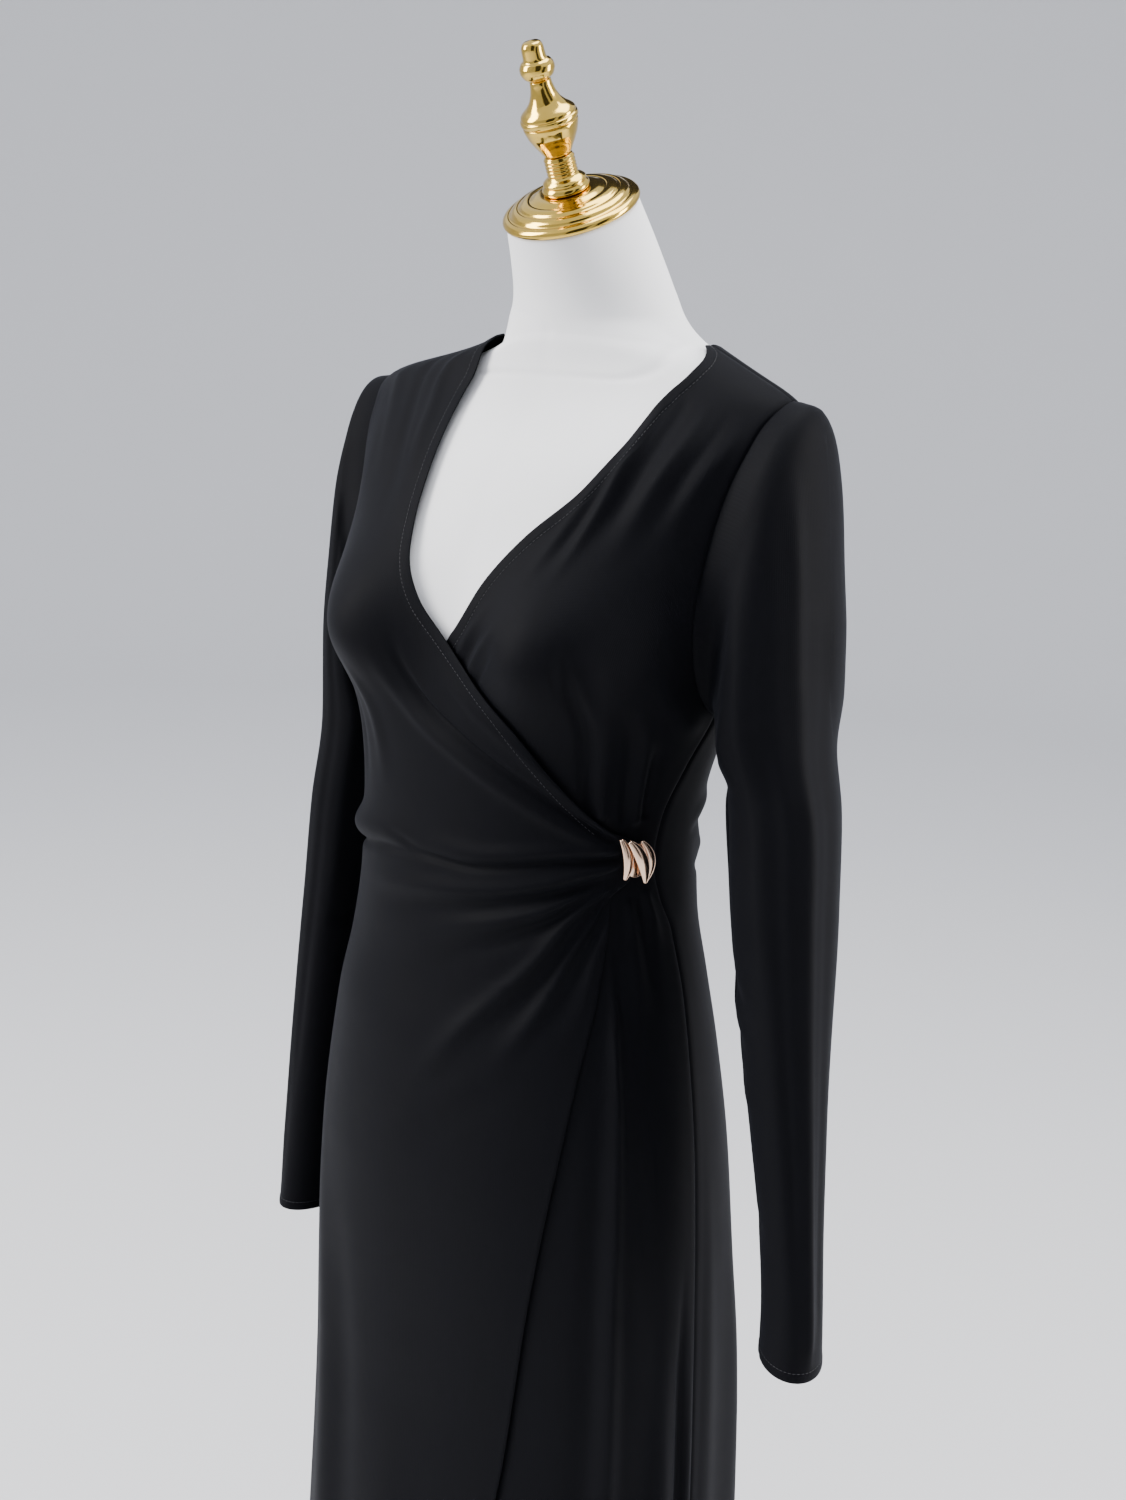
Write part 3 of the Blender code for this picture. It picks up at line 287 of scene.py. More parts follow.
BACK_CREASES = (
    # across the small of the back
    (3, 7, 9, 0.3, 0.45, 1, ((105, 1.04), (128, 1.033), (150, 1.029), (172, 1.031))),
    (-2.4, 3.6, 5, 0.3, 0.45, 1, ((103, 1.026), (126, 1.018), (148, 1.015), (170, 1.018))),
    (3, 7, 8, 0.3, 0.45, 1, ((262, 1.03), (240, 1.024), (218, 1.022), (194, 1.03))),
    (-2.4, 3.6, 5, 0.3, 0.45, 1, ((264, 1.014), (242, 1.009), (220, 1.008), (198, 1.016))),
    (2, 6, 9, 0.3, 0.5, 1, ((96, 1.062), (118, 1.07), (140, 1.066), (158, 1.06))),
    (-1.6, 4, 6, 0.3, 0.5, 1, ((94, 1.052), (116, 1.054), (138, 1.05))),
    (1.8, 6, 9, 0.3, 0.5, 1, ((262, 1.064), (236, 1.058), (214, 1.06))),
    # from under the arms over the shoulder blades
    (-1.8, 8, 9, 0.2, 0.55, 1, ((96, 1.16), (112, 1.185), (128, 1.205), (142, 1.215))),
    (1.6, 8, 9, 0.2, 0.55, 1, ((96, 1.138), (114, 1.156), (132, 1.17))),
    (-1.8, 8, 9, 0.2, 0.55, 1, ((264, 1.155), (248, 1.178), (232, 1.2))),
    (1.6, 8, 9, 0.2, 0.55, 1, ((264, 1.132), (246, 1.146), (228, 1.158))),
    (1.2, 6, 9, 0.3, 0.5, 1, ((120, 1.345), (128, 1.315), (134, 1.28))),
    (1.2, 6, 9, 0.3, 0.5, 1, ((242, 1.345), (232, 1.312), (226, 1.275))),
    # hanging flutes of the skirt
    (4.2, 9, 19, 0.4, 0, 1, ((112, 0.84), (111, 0.65), (109, 0.42), (108, 0.2))),
    (-2.6, 8, 15, 0.4, 0, 1, ((122, 0.8), (122, 0.6), (121, 0.4), (121, 0.2))),
    (4.8, 9, 20, 0.4, 0, 1, ((136, 0.8), (137, 0.6), (138, 0.4), (138, 0.2))),
    (-2.8, 8, 15, 0.4, 0, 1, ((152, 0.78), (153, 0.58), (154, 0.38), (154, 0.2))),
    (3.8, 9, 18, 0.4, 0, 1, ((168, 0.76), (168, 0.56), (169, 0.38), (170, 0.2))),
    (-2.4, 8, 15, 0.4, 0, 1, ((188, 0.8), (187, 0.6), (187, 0.4), (186, 0.2))),
    (4.6, 9, 20, 0.4, 0, 1, ((205, 0.82), (204, 0.62), (203, 0.4), (203, 0.2))),
    (-2.8, 8, 15, 0.4, 0, 1, ((222, 0.78), (222, 0.58), (221, 0.38), (220, 0.2))),
    (4, 9, 18, 0.4, 0, 1, ((240, 0.82), (240, 0.62), (239, 0.4), (238, 0.2))),
    (2.4, 8, 15, 0.4, 0, 1, ((256, 0.8), (256, 0.6), (256, 0.4), (256, 0.2))),
    (2, 6, 12, 0.35, 0, 1, ((93, 0.86), (93, 0.66), (92, 0.4), (92, 0.2))),
)
# On a sleeve the angle is 0 at the outside, 90 in front and 180 under the arm.
LEFT_SLEEVE_CREASES = (
    (-2, 18, 17, 0.3, 0.6, 1, ((182, 1.15), (181, 1.12), (180, 1.085), (180, 1.01))),
    (-1, 22, 22, 0.45, 0.45, 1, ((2, 1.215), (0, 1.18), (0, 1.14))),
    (3, 24, 22, 0.3, 0.5, 1, ((0, 1.16), (0, 1.1), (0, 1), (0, 0.88))),
    # the long soft ridge down the sleeve and the hollows beside it
    (2.4, 5, 6, 0.12, 0.05, 1.3, ((72, 1.33), (70, 1.24), (69, 1.12), (68, 0.98), (67, 0.85), (65, 0.711))),
    (-1.8, 8, 8, 0.2, 0.2, 1, ((98, 1.28), (102, 1.2), (104, 1.08), (99, 0.95), (94, 0.82), (92, 0.74))),
    (-1.2, 7, 7, 0.2, 0.1, 1, ((46, 1.28), (45, 1.15), (43, 1), (42, 0.85), (42, 0.711))),
    (1.6, 7, 8, 0.25, 0.3, 1, ((126, 1.26), (128, 1.18), (127, 1.06), (122, 0.94))),
    # drags from under the arm
    (-1.8, 7, 8, 0.25, 0.55, 1, ((176, 1.15), (158, 1.18), (144, 1.22), (136, 1.26))),
    (1.3, 6, 8, 0.25, 0.55, 1, ((172, 1.118), (150, 1.145), (134, 1.18))),
    # slack rings at the elbow, on the inner side
    (-1.4, 6, 8, 0.35, 0.5, 1, ((205, 0.99), (178, 0.968), (150, 0.958), (122, 0.964))),
    (1.3, 7, 8, 0.35, 0.5, 1, ((202, 0.97), (176, 0.948), (148, 0.94), (124, 0.946))),
    (-1.1, 6, 8, 0.35, 0.5, 1, ((200, 0.944), (172, 0.928), (146, 0.922))),
    (1, 7, 8, 0.35, 0.5, 1, ((196, 0.905), (166, 0.893), (138, 0.896))),
    (-0.9, 6, 8, 0.35, 0.5, 1, ((200, 0.815), (172, 0.803), (142, 0.806))),
    (1.6, 7, 8, 0.15, 0.1, 1, ((302, 1.29), (300, 1.12), (297, 0.95), (298, 0.8), (300, 0.711))),
    (-1.6, 7, 8, 0.15, 0.1, 1, ((272, 1.26), (268, 1.1), (266, 0.95), (268, 0.8))),
    (-1.8, 6, 7, 0.2, 0.5, 1, ((214, 1.135), (232, 1.175), (250, 1.22))),
)
RIGHT_SLEEVE_CREASES = (
    (1.8, 6, 7, 0.1, 0.1, 1, ((58, 1.32), (60, 1.2), (62, 1.05), (60, 0.88), (58, 0.666))),
    (-1.5, 7, 8, 0.12, 0.2, 1, ((86, 1.29), (92, 1.16), (94, 1), (90, 0.86), (86, 0.74))),
    (1.4, 7, 8, 0.2, 0.3, 1, ((116, 1.26), (120, 1.12), (122, 0.98), (118, 0.88))),
    (-1.8, 6, 7, 0.2, 0.5, 1, ((170, 1.122), (150, 1.16), (134, 1.205), (124, 1.25))),
    (-1.4, 5, 6, 0.35, 0.45, 1, ((196, 0.945), (166, 0.93), (136, 0.925), (114, 0.93))),
    (1.4, 6, 7, 0.35, 0.45, 1, ((194, 0.925), (164, 0.91), (136, 0.906))),
    (-1.2, 5, 6, 0.35, 0.45, 1, ((190, 0.9), (162, 0.888), (138, 0.886))),
    (1.6, 7, 8, 0.15, 0.1, 1, ((302, 1.28), (300, 1.1), (296, 0.9), (298, 0.78), (300, 0.666))),
    (-1.4, 7, 8, 0.15, 0.1, 1, ((270, 1.26), (266, 1.08), (266, 0.9), (268, 0.76))),
)

# Turned profiles: height along the axis, radius.
CAP_PROFILE = (
    (0.0, 0.0), (0.0, 0.0462), (0.0008, 0.0476), (0.0024, 0.0482), (0.0042, 0.0476),
    (0.0056, 0.046), (0.0062, 0.044), (0.0061, 0.0428), (0.0066, 0.0418), (0.0082, 0.0408),
    (0.0096, 0.0388), (0.0102, 0.0366), (0.01, 0.0356), (0.0105, 0.0346), (0.0118, 0.0332),
    (0.0128, 0.0304), (0.013, 0.0276), (0.0128, 0.0266), (0.0134, 0.025), (0.0146, 0.022),
    (0.015, 0.018), (0.015, 0.0),
)
COLLAR_PROFILE = (
    (0.0151, 0.0), (0.0151, 0.015), (0.016, 0.0162), (0.0176, 0.0166), (0.0192, 0.0158),
    (0.0204, 0.0146), (0.0212, 0.015), (0.0226, 0.0148), (0.024, 0.0132), (0.0254, 0.0112),
    (0.0268, 0.01), (0.028, 0.0108), (0.0292, 0.01), (0.0304, 0.0108), (0.0316, 0.01),
    (0.0328, 0.0108), (0.034, 0.01), (0.0352, 0.0108), (0.0364, 0.01), (0.0376, 0.0108),
    (0.039, 0.0098), (0.0401, 0.0094), (0.0401, 0.0),
)
URN_PROFILE = (
    (0.0402, 0.0), (0.0402, 0.0092), (0.044, 0.0112), (0.049, 0.0142), (0.0545, 0.017),
    (0.06, 0.0187), (0.0622, 0.0189), (0.0628, 0.0181), (0.0634, 0.0192), (0.065, 0.0198),
    (0.0668, 0.0196), (0.0676, 0.0184), (0.0682, 0.019), (0.07, 0.0184), (0.0716, 0.0168),
    (0.074, 0.0138), (0.0775, 0.0108), (0.082, 0.0088), (0.087, 0.0076), (0.0915, 0.0071),
    (0.0916, 0.0),
)
TIP_PROFILE = (
    (0.0917, 0.0), (0.0917, 0.0078), (0.094, 0.0104), (0.0975, 0.0119), (0.1005, 0.0117),
    (0.1035, 0.01), (0.1046, 0.0078), (0.113, 0.0075), (0.116, 0.0058), (0.117, 0.0),
)
CLASP_ANGLE = 66.0
CLASP_HEIGHT = 1.0435
# name, the spine's top, middle and foot as sideways and up (mm), widest across (mm), stand-off
CLASP_LEAVES = (
    ("front", ((-14.0, 16.5), (-8.2, 3.0), (-9.2, -12.5)), 7.6, 0.0063),
    ("middle", ((-9.5, 15.6), (0.6, 2.0), (5.0, -15.0)), 8.6, 0.01),
    ("rear", ((1.8, 14.0), (9.3, 1.0), (7.2, -15.0)), 6.4, 0.0068),
)
CLASP_PLATE = (0.018, 0.024, 0.0014)  # width, height, thickness
CLASP_PLATE_OUT = 0.0026  # from the dress's skin to the back of the plate
BASE_RADIUS, BASE_THICKNESS = 0.155, 0.022
HUB_RADIUS, HUB_HEIGHT = 0.026, 0.05
POLE_RADIUS = 0.0125
SOCKET_RADIUS, SOCKET_HEIGHT = 0.03, 0.04


# ---------------------------------------------------------------- curves and surfaces
def smooth_curve(rows):
    """A function of the first column that passes smoothly, with no overshoot, through each row."""
    table = np.array(rows, float)
    known, values = table[:, 0], table[:, 1:]
    step = np.diff(known)[:, None]
    rise = np.diff(values, axis=0) / step
    slope = np.zeros_like(values)
    slope[0], slope[-1] = rise[0], rise[-1]
    before, after = 2 * step[1:] + step[:-1], step[1:] + 2 * step[:-1]
    same_way = rise[:-1] * rise[1:] > 0
    safe = np.where(same_way, rise[:-1], 1), np.where(same_way, rise[1:], 1)
    mean = (before + after) / (before / safe[0] + after / safe[1])
    slope[1:-1] = np.where(same_way, mean, 0)

    def at(position):
        position = np.asarray(position, float)
        index = np.clip(np.searchsorted(known, position) - 1, 0, len(step) - 1)
        width = step[index]
        t = np.clip((position - known[index])[..., None] / width, 0, 1)
        low = (1 + 2 * t) * (1 - t) ** 2 * values[index] + t * (1 - t) ** 2 * width * slope[index]
        high = t * t * (3 - 2 * t) * values[index + 1] + t * t * (t - 1) * width * slope[index + 1]
        return low + high

    return at


def ease_between(value, low, high):
    """0 below low, 1 above high, and smooth in between."""
    t = np.clip((value - low) / (high - low), 0, 1)
    return t * t * (3 - 2 * t)


plain_section = smooth_curve(BODY_SECTIONS)


def body_section(height):
    """The level section at a height, averaged over a few millimetres so that nothing turns sharply."""
    height = np.asarray(height, float)
    return sum(share * plain_section(height + step) for step, share in SECTION_BLUR)


over_edge = smooth_curve(OVER_EDGE)
under_edge = smooth_curve(UNDER_EDGE)
left_seam = smooth_curve(LEFT_SEAM)


def bust(across, height):
    """How far the bust stands out in front of the plain sections."""
    tall = np.where(height > BUST_HEIGHT, BUST_ABOVE, BUST_BELOW)
    sides = np.exp(-(np.abs((across - BUST_SIDE) / BUST_WIDTH) ** BUST_FULLNESS))
    sides = sides + np.exp(-(np.abs((across + BUST_SIDE) / BUST_WIDTH) ** BUST_FULLNESS))
    up = np.exp(-(np.abs((height - BUST_HEIGHT) / tall) ** BUST_FULLNESS))
    return BUST_OUT * np.minimum(sides, 1) * up


def neck_fit(angle, height):
    """The neck opening sits wider on the left and lower on the right than the sections alone."""
    left, right = np.clip(np.sin(angle), 0, 1) ** 2, np.clip(-np.sin(angle), 0, 1) ** 2
    forward = 0.4 + 0.6 * ease_between(np.cos(angle), -0.75, -0.05)
    wider = (NECK_WIDER * left + NECK_NARROWER * right * forward) * ease_between(height, 1.360, 1.386)
    lower = NECK_LOWER * right * ease_between(height, 1.350, 1.386)
    return wider, lower


def shoulder_tilt(across, height):
    return SHOULDER_TILT * across * ease_between(height, 1.15, 1.33) * ease_between(-height, -1.44, -1.39)


def body_skin(angle, height):
    """Points on the outside of the dress's body, at an angle in radians and a height."""
    angle, height = np.broadcast_arrays(np.asarray(angle, float), np.asarray(height, float))
    half_width, front, back, side, roundness = np.moveaxis(body_section(height), -1, 0)
    sine, cosine = np.sin(angle), np.cos(angle)
    reach = (np.abs(sine) ** roundness + np.abs(cosine) ** roundness) ** (1 / roundness)
    x = half_width * sine / reach
    y = side + np.where(cosine > 0, front - side, side - back) * cosine / reach
    y = y - np.clip(2 * cosine, 0, 1) * bust(x, height)
    wider, lower = neck_fit(angle, height)
    return np.stack([x + wider, y, height + shoulder_tilt(x, height) - lower], axis=-1)


def body_offset(angle, height, out):
    """Points on the body moved out along its normal, by an amount that may vary."""
    turn, lift = 1e-3, 1e-4
    around = body_skin(angle + turn, height) - body_skin(angle - turn, height)
    upward = body_skin(angle, height + lift) - body_skin(angle, height - lift)
    normal = np.cross(around, upward)
    normal /= np.linalg.norm(normal, axis=-1, keepdims=True)
    return body_skin(angle, height) + normal * np.asarray(out)[..., None]


def armhole_angle(height, reach):
    """The angle where an armhole's edge crosses a height, measured from the centre front or back."""
    _, front, back, side, roundness = np.moveaxis(body_section(height), -1, 0)
    oval = np.sqrt(np.clip(1 - ((height - ARMHOLE_MIDDLE) / ARMHOLE_HALF) ** 2, 0, 1))
    depth = side - front if reach > 0 else back - side
    level = np.clip(abs(reach) * oval / depth, 0, 0.98)
    return np.arctan2((1 - level**roundness) ** (1 / roundness), level)


def crease_relief(creases, radius, across, height):
    """The rise of soft ridges and troughs that run along lines in the cloth, in metres."""
    total = np.zeros(across.shape)
    for rise, start, end, fade_in, fade_out, left_side, points in creases:
        line = np.array([(math.radians(a) * radius, h) for a, h in points])
        length = np.concatenate([[0], np.cumsum(np.linalg.norm(np.diff(line, axis=0), axis=1))])
        share = np.linspace(0, 1, 72)
        line = smooth_curve(np.column_stack([length / length[-1], line]))(share)
        along = np.gradient(line, axis=0)
        room = 3.2 * max(start, end) / 1000
        low, high = line.min(axis=0) - room, line.max(axis=0) + room
        near = (across > low[0]) & (across < high[0]) & (height > low[1]) & (height < high[1])
        if not near.any():
            continue
        here = np.stack([across[near], height[near]], axis=-1)
        away = np.linalg.norm(here[:, None, :] - line[None], axis=-1)
        nearest = away.argmin(axis=1)
        apart = here - line[nearest]
        side = along[nearest, 0] * apart[:, 1] - along[nearest, 1] * apart[:, 0]
        length_here = np.hypot(along[nearest, 0], along[nearest, 1])
        beside = (nearest > 0) & (nearest < len(share) - 1)
        away = np.where(beside, np.abs(side) / length_here, away.min(axis=1))
        ahead = (along[nearest] * apart).sum(axis=1) / length_here**2 * (share[1] - share[0])
        t = np.clip(share[nearest] + np.where(beside, ahead, 0), 0, 1)
        width = (start + (end - start) * t) / 1000
        width = np.where(side > 0, width * left_side, width)
        fade = ease_between(t, -1e-6, fade_in) * ease_between(1 - t, -1e-6, fade_out)
        total[near] += rise / 1000 * fade * np.exp(-((away / width) ** 2))
    return total


def soft_floor(relief, depth):
    """Lets troughs go no deeper than depth, with no hard bottom."""
    return np.where(relief < 0, -depth * np.tanh(-relief / depth), relief)


def in_scene(name, data):
    made = bpy.data.objects.new(name, data)
    bpy.context.scene.collection.objects.link(made)
    return made


def add_mesh(name, points, faces, finish, maps=None, smooth=True):
    mesh = bpy.data.meshes.new(name)
    mesh.from_pydata(np.asarray(points, float).tolist(), [], faces)
    mesh.validate()
    mesh.materials.append(finish)
    if smooth:
        mesh.shade_smooth()
    if maps is not None:
        layer = mesh.uv_layers.new(name="cloth")
        loops = np.empty(len(mesh.loops), np.int32)
        mesh.loops.foreach_get("vertex_index", loops)
        layer.data.foreach_set("uv", np.asarray(maps, np.float32)[loops].ravel())
    return in_scene(name, mesh)


def even_normals(points, faces):
    """Normals of four-sided faces' points, weighted by area so that narrow faces don't show."""
    corners = points[faces]
    facing = np.cross(corners[:, 2] - corners[:, 0], corners[:, 3] - corners[:, 1])
    normals = np.zeros_like(points)
    for corner in range(4):
        np.add.at(normals, faces[:, corner], facing)
    return normals / np.maximum(np.linalg.norm(normals, axis=1, keepdims=True), 1e-12)


def finished(made, slot, *nodes):
    """Parents a finished piece to the root empty and hides the imported parts that it replaces."""
    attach(made, "root")
    if nodes:
        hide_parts(*nodes)
    return made


def grid_faces(rows, columns, closed=True):
    """Four-sided faces over a grid of points; a closed grid joins its last column to its first."""
    across = columns if closed else columns - 1
    r, c = np.meshgrid(np.arange(rows - 1), np.arange(across), indexing="ij")
    a, b = (r * columns + c).ravel(), (r * columns + (c + 1) % columns).ravel()
    return np.stack([a, b, b + columns, a + columns], axis=1)


def cloth_shell(name, outer, inner, maps, finish, tube=False):
    """A thin closed wall between two grids, with rounded rims; maps are its UVs in metres."""
    rows, columns = outer.shape[:2]
    points = [outer.reshape(-1, 3), inner.reshape(-1, 3)]
    flat = maps.reshape(-1, 2)
    uvs = [flat, flat]
    inside = rows * columns
    grid = grid_faces(rows, columns, tube)
    faces = grid.tolist() + (grid[:, [0, 3, 2, 1]] + inside).tolist()
    if tube:
        around = np.arange(columns)
        loops = [(around, columns, True), (around + (rows - 1) * columns, -columns, False)]
    else:
        bottom = np.arange(columns)
        right = np.arange(1, rows) * columns + columns - 1
        top = (rows - 1) * columns + np.arange(columns - 2, -1, -1)
        left = np.arange(rows - 2, 0, -1) * columns
        loops = [(np.concatenate([bottom, right, top, left]), None, True)]
    start = 2 * inside
    for loop, inward, forward in loops:
        top_points, low_points = points[0][loop], points[1][loop]
        if inward is None:
            step_in = np.select(
                [loop < columns, loop >= (rows - 1) * columns, loop % columns == columns - 1],
                [columns, -columns, -1], 1,
            )
        else:
            step_in = np.full(loop.shape, inward)
        away = top_points - points[0][loop + step_in]
        away /= np.linalg.norm(away, axis=1, keepdims=True) + 1e-12
        half = np.linalg.norm(top_points - low_points, axis=1, keepdims=True) / 2
        middle = (top_points + low_points) / 2
        rims = []
        for bend in (45, 90, 135):
            turn = math.radians(bend)
            rims.append(middle + (top_points - middle) * math.cos(turn) + away * half * math.sin(turn))
        points += rims
        uvs += [flat[loop]] * 3
        count = len(loop)
        ring = [loop, *(start + k * count + np.arange(count) for k in range(3)), loop + inside]
        start += 3 * count
        for upper, lower in zip(ring[:-1], ring[1:]):
            after_upper, after_lower = np.roll(upper, -1), np.roll(lower, -1)
            strip = [after_upper, upper, lower, after_lower]
            if not forward:
                strip = [upper, after_upper, after_lower, lower]
            faces += np.stack(strip, axis=1).tolist()
    points = np.concatenate(points)
    made = add_mesh(name, points, faces, finish, np.concatenate(uvs))
    made.data.normals_split_custom_set_from_vertices(even_normals(points, np.array(faces)).tolist())
    return made


def ring_solid(name, rings, finish, ends=None):
    """A closed solid through rings of points, bottom to top, with a fan at each end."""
    rows, count = len(rings), len(rings[0])
    if ends is None:
        ends = [np.mean(rings[0], axis=0), np.mean(rings[-1], axis=0)]
    low, high, last = rows * count, rows * count + 1, (rows - 1) * count
    faces = grid_faces(rows, count).tolist()
    for c in range(count):
        after = (c + 1) % count
        faces += [(low, after, c), (high, last + c, last + after)]
    return add_mesh(name, np.concatenate([*rings, ends]), faces, finish)


def lean_matrix(degrees):
    """Turns +Z towards the front, -Y."""
    sine, cosine = math.sin(math.radians(degrees)), math.cos(math.radians(degrees))
    return np.array([[1, 0, 0], [0, cosine, -sine], [0, sine, cosine]])


def eased_profile(profile, rounds=3, keep=0.22):
    """The profile with every corner between its two ends cut to a small curve."""
    line = np.array(profile, float)
    for _ in range(rounds):
        cut = [line[0]]
        for a, b in zip(line[:-1], line[1:]):
            cut += [a + (b - a) * keep, b + (a - b) * keep]
        cut.append(line[-1])
        line = np.array(cut)
    line[0, 1] = line[-1, 1] = 0
    return line


def turned(name, profile, finish, steps=96, origin=(0, 0, 0), lean=0.0, rounds=2, keep=0.2):
    """A solid turned about an axis that leans forward from vertical."""
    line = eased_profile(profile, rounds, keep)
    turn = np.linspace(0, 2 * math.pi, steps, endpoint=False)
    circle = np.stack([np.sin(turn), -np.cos(turn), np.zeros(steps)], axis=-1)
    tilt = lean_matrix(lean).T
    rings = [(circle * radius + (0, 0, height)) @ tilt + origin for height, radius in line[1:-1]]
    ends = [np.array((0, 0, height)) @ tilt + origin for height in (line[0][0], line[-1][0])]
    return ring_solid(name, rings, finish, ends)


# ---------------------------------------------------------------- materials
class Value:
    """A shader socket that does arithmetic by adding Math nodes."""

    def __init__(self, sheet, socket):
        self.sheet, self.socket = sheet, socket

    def _math(self, operation, *values):
        return self.sheet.node("ShaderNodeMath", {"operation": operation}, *values)

    def __add__(self, other):
        return self._math("ADD", self, other)

    def __mul__(self, other):
        return self._math("MULTIPLY", self, other)

    __radd__, __rmul__ = __add__, __mul__

    def sine(self):
        return self._math("SINE", self)

    def size(self):
        return self._math("ABSOLUTE", self)


class Finish:
    """One procedural material around a Principled BSDF."""

    def __init__(self, name, **settings):
        self.material = bpy.data.materials.new(name)
        self.material.use_nodes = True
        self.nodes = self.material.node_tree.nodes
        self.links = self.material.node_tree.links
        self.shader = self.nodes["Principled BSDF"]
        self.set(**settings)

    def set(self, **settings):
        for key, value in settings.items():
            self.join(self.shader.inputs[key.replace("_", " ").title()], value)

    def join(self, socket, value):
        if isinstance(value, Value):
            self.links.new(value.socket, socket)
        elif isinstance(value, tuple) and len(value) == 3 and socket.type == "RGBA":
            socket.default_value = (*value, 1)
        else:
            socket.default_value = value

    def node(self, kind, settings=None, *values, output=0, **named):
        made = self.nodes.new(kind)
        for key, value in (settings or {}).items():
            setattr(made, key, value)
        for index, value in enumerate(values):
            if value is not None:
                self.join(made.inputs[index], value)
        for key, value in named.items():
            self.join(made.inputs[key.replace("_", " ").title()], value)
        return Value(self, made.outputs[output])

    def place(self):
        return self.node("ShaderNodeTexCoord", output=3)

    def cloth_map(self):
        return self.node("ShaderNodeUVMap", {"uv_map": "cloth"})

    def apart(self, vector):
        first = self.node("ShaderNodeSeparateXYZ", None, vector)
        outputs = first.socket.node.outputs
        return [Value(self, outputs[k]) for k in range(3)]

    def noise(self, vector, scale, detail=2.0, roughness=0.5):
        settings = {"vector": vector, "scale": scale, "detail": detail, "roughness": roughness}
        return self.node("ShaderNodeTexNoise", None, **settings)

    def blend(self, factor, first, second):
        made = self.nodes.new("ShaderNodeMix")
        made.data_type = "RGBA"
        self.join(made.inputs[0], factor)
        self.join(made.inputs[6], first)
        self.join(made.inputs[7], second)
        return Value(self, made.outputs[2])

    def bump(self, height, strength, distance):
        normal = self.node("ShaderNodeBump", None, strength=strength, distance=distance, height=height)
        self.join(self.shader.inputs["Normal"], normal)


def jersey_finish(name, colour, lift):
    """Fine knit: wales down the cloth, slanting courses across them, and a faint cloudiness."""
    made = Finish(name, sheen_weight=0.035, sheen_roughness=0.35, sheen_tint=(0.80, 0.84, 1.0))
    made.shader.inputs["Specular IOR Level"].default_value = 0.055
    across, up, _ = made.apart(made.cloth_map())
    wale = (across * (math.pi / 0.00105)).sine().size()
    course = ((up * (2 * math.pi / 0.00088)) + wale * 2.4).sine()
    cloud = made.noise(made.place(), 34.0, 3.0, 0.6)
    speck = made.noise(made.place(), 1400.0, 2.0, 0.7)
    knit = wale * 0.7 + course * 0.2 + speck * 0.35
    pale = tuple(c * lift for c in colour)
    made.set(base_color=made.blend(cloud * 0.55 + speck * 0.45, colour, pale))
    made.set(roughness=0.56 + cloud * 0.10 + speck * 0.06)
    made.bump(knit, 0.32, 0.00016)
    return made.material


def cover_finish():
    """Close white cloth with a plain weave."""
    made = Finish("white_cover_cloth", sheen_weight=0.08, sheen_roughness=0.5)
    x, y, z = made.apart(made.place())
    weave = ((x + y) * (math.pi / 0.0007)).sine().size() + (z * (math.pi / 0.0007)).sine().size()
    cloud = made.noise(made.place(), 14.0, 3.0, 0.55)
    made.set(base_color=made.blend(cloud, (0.80, 0.80, 0.80), (0.87, 0.87, 0.875)))
    made.set(roughness=0.86 + cloud * 0.06)
    made.bump(weave * 0.5 + made.noise(made.place(), 900.0), 0.22, 0.00012)
    return made.material


def metal_finish(name, colour, deep, roughness):
    """Polished plate with faint clouding and fine hairlines."""
    made = Finish(name, metallic=1.0)
    cloud = made.noise(made.place(), 46.0, 4.0, 0.6)
    fine = made.noise(made.place(), 520.0, 2.0, 0.6)
    made.set(base_color=made.blend(cloud * 0.7 + fine * 0.3, deep, colour))
    made.set(roughness=roughness + cloud * 0.07 + fine * 0.04)
    made.bump(cloud * 0.6 + fine * 0.2, 0.05, 0.0004)
    return made.material


def plain_finish(name, colour, roughness):
    made = Finish(name)
    cloud = made.noise(made.place(), 3.0, 3.0, 0.5)
    made.set(base_color=made.blend(cloud, tuple(c * 0.985 for c in colour), colour))
    made.set(roughness=roughness + cloud * 0.05)
    return made.material


BLACK = (0.002, 0.0021, 0.003)
black_jersey = jersey_finish("black_jersey_knit", BLACK, 1.75)
black_thread = plain_finish("black_sewing_thread", (0.020, 0.020, 0.024), 0.5)
white_cover = cover_finish()
gold_plate = metal_finish("polished_gold_plate", (0.76, 0.52, 0.115), (0.60, 0.38, 0.055), 0.07)
rose_plate = metal_finish("rose_gold_plate", (0.93, 0.68, 0.50), (0.82, 0.54, 0.38), 0.10)


# ---------------------------------------------------------------- the dress's panels
def panel_heights(top):
    """Row heights: close at the hem, the waist and the seams, wider down the skirt."""
    hem = HEM_HEIGHT + np.array(HEM_ROWS)
    skirt = np.linspace(hem[-1], SKIRT_TOP, SKIRT_ROWS)[1:]
    waist = np.linspace(SKIRT_TOP, ARMHOLE_BOTTOM, WAIST_ROWS)[1:-1]
    steps = np.linspace(0, 1, ARMHOLE_ROWS)
    level = ARMHOLE_EVEN * (2 * steps - 1) - (1 - ARMHOLE_EVEN) * np.cos(math.pi * steps)
    armhole = ARMHOLE_MIDDLE + ARMHOLE_HALF * level
    shoulder = np.linspace(ARMHOLE_TOP, top, SHOULDER_ROWS)[1:-1]
    last = top - np.array((0.0008, 0.0))
    return np.concatenate([hem, skirt, waist, armhole, shoulder, last])


def side_limits(heights, seam, reach):
    """The angle of a panel's side: its seam, or its armhole where that comes first."""
    in_armhole = (heights > ARMHOLE_BOTTOM + 1e-6) & (heights < ARMHOLE_TOP - 1e-6)
    return np.where(in_armhole, np.minimum(armhole_angle(heights, reach), seam), seam)


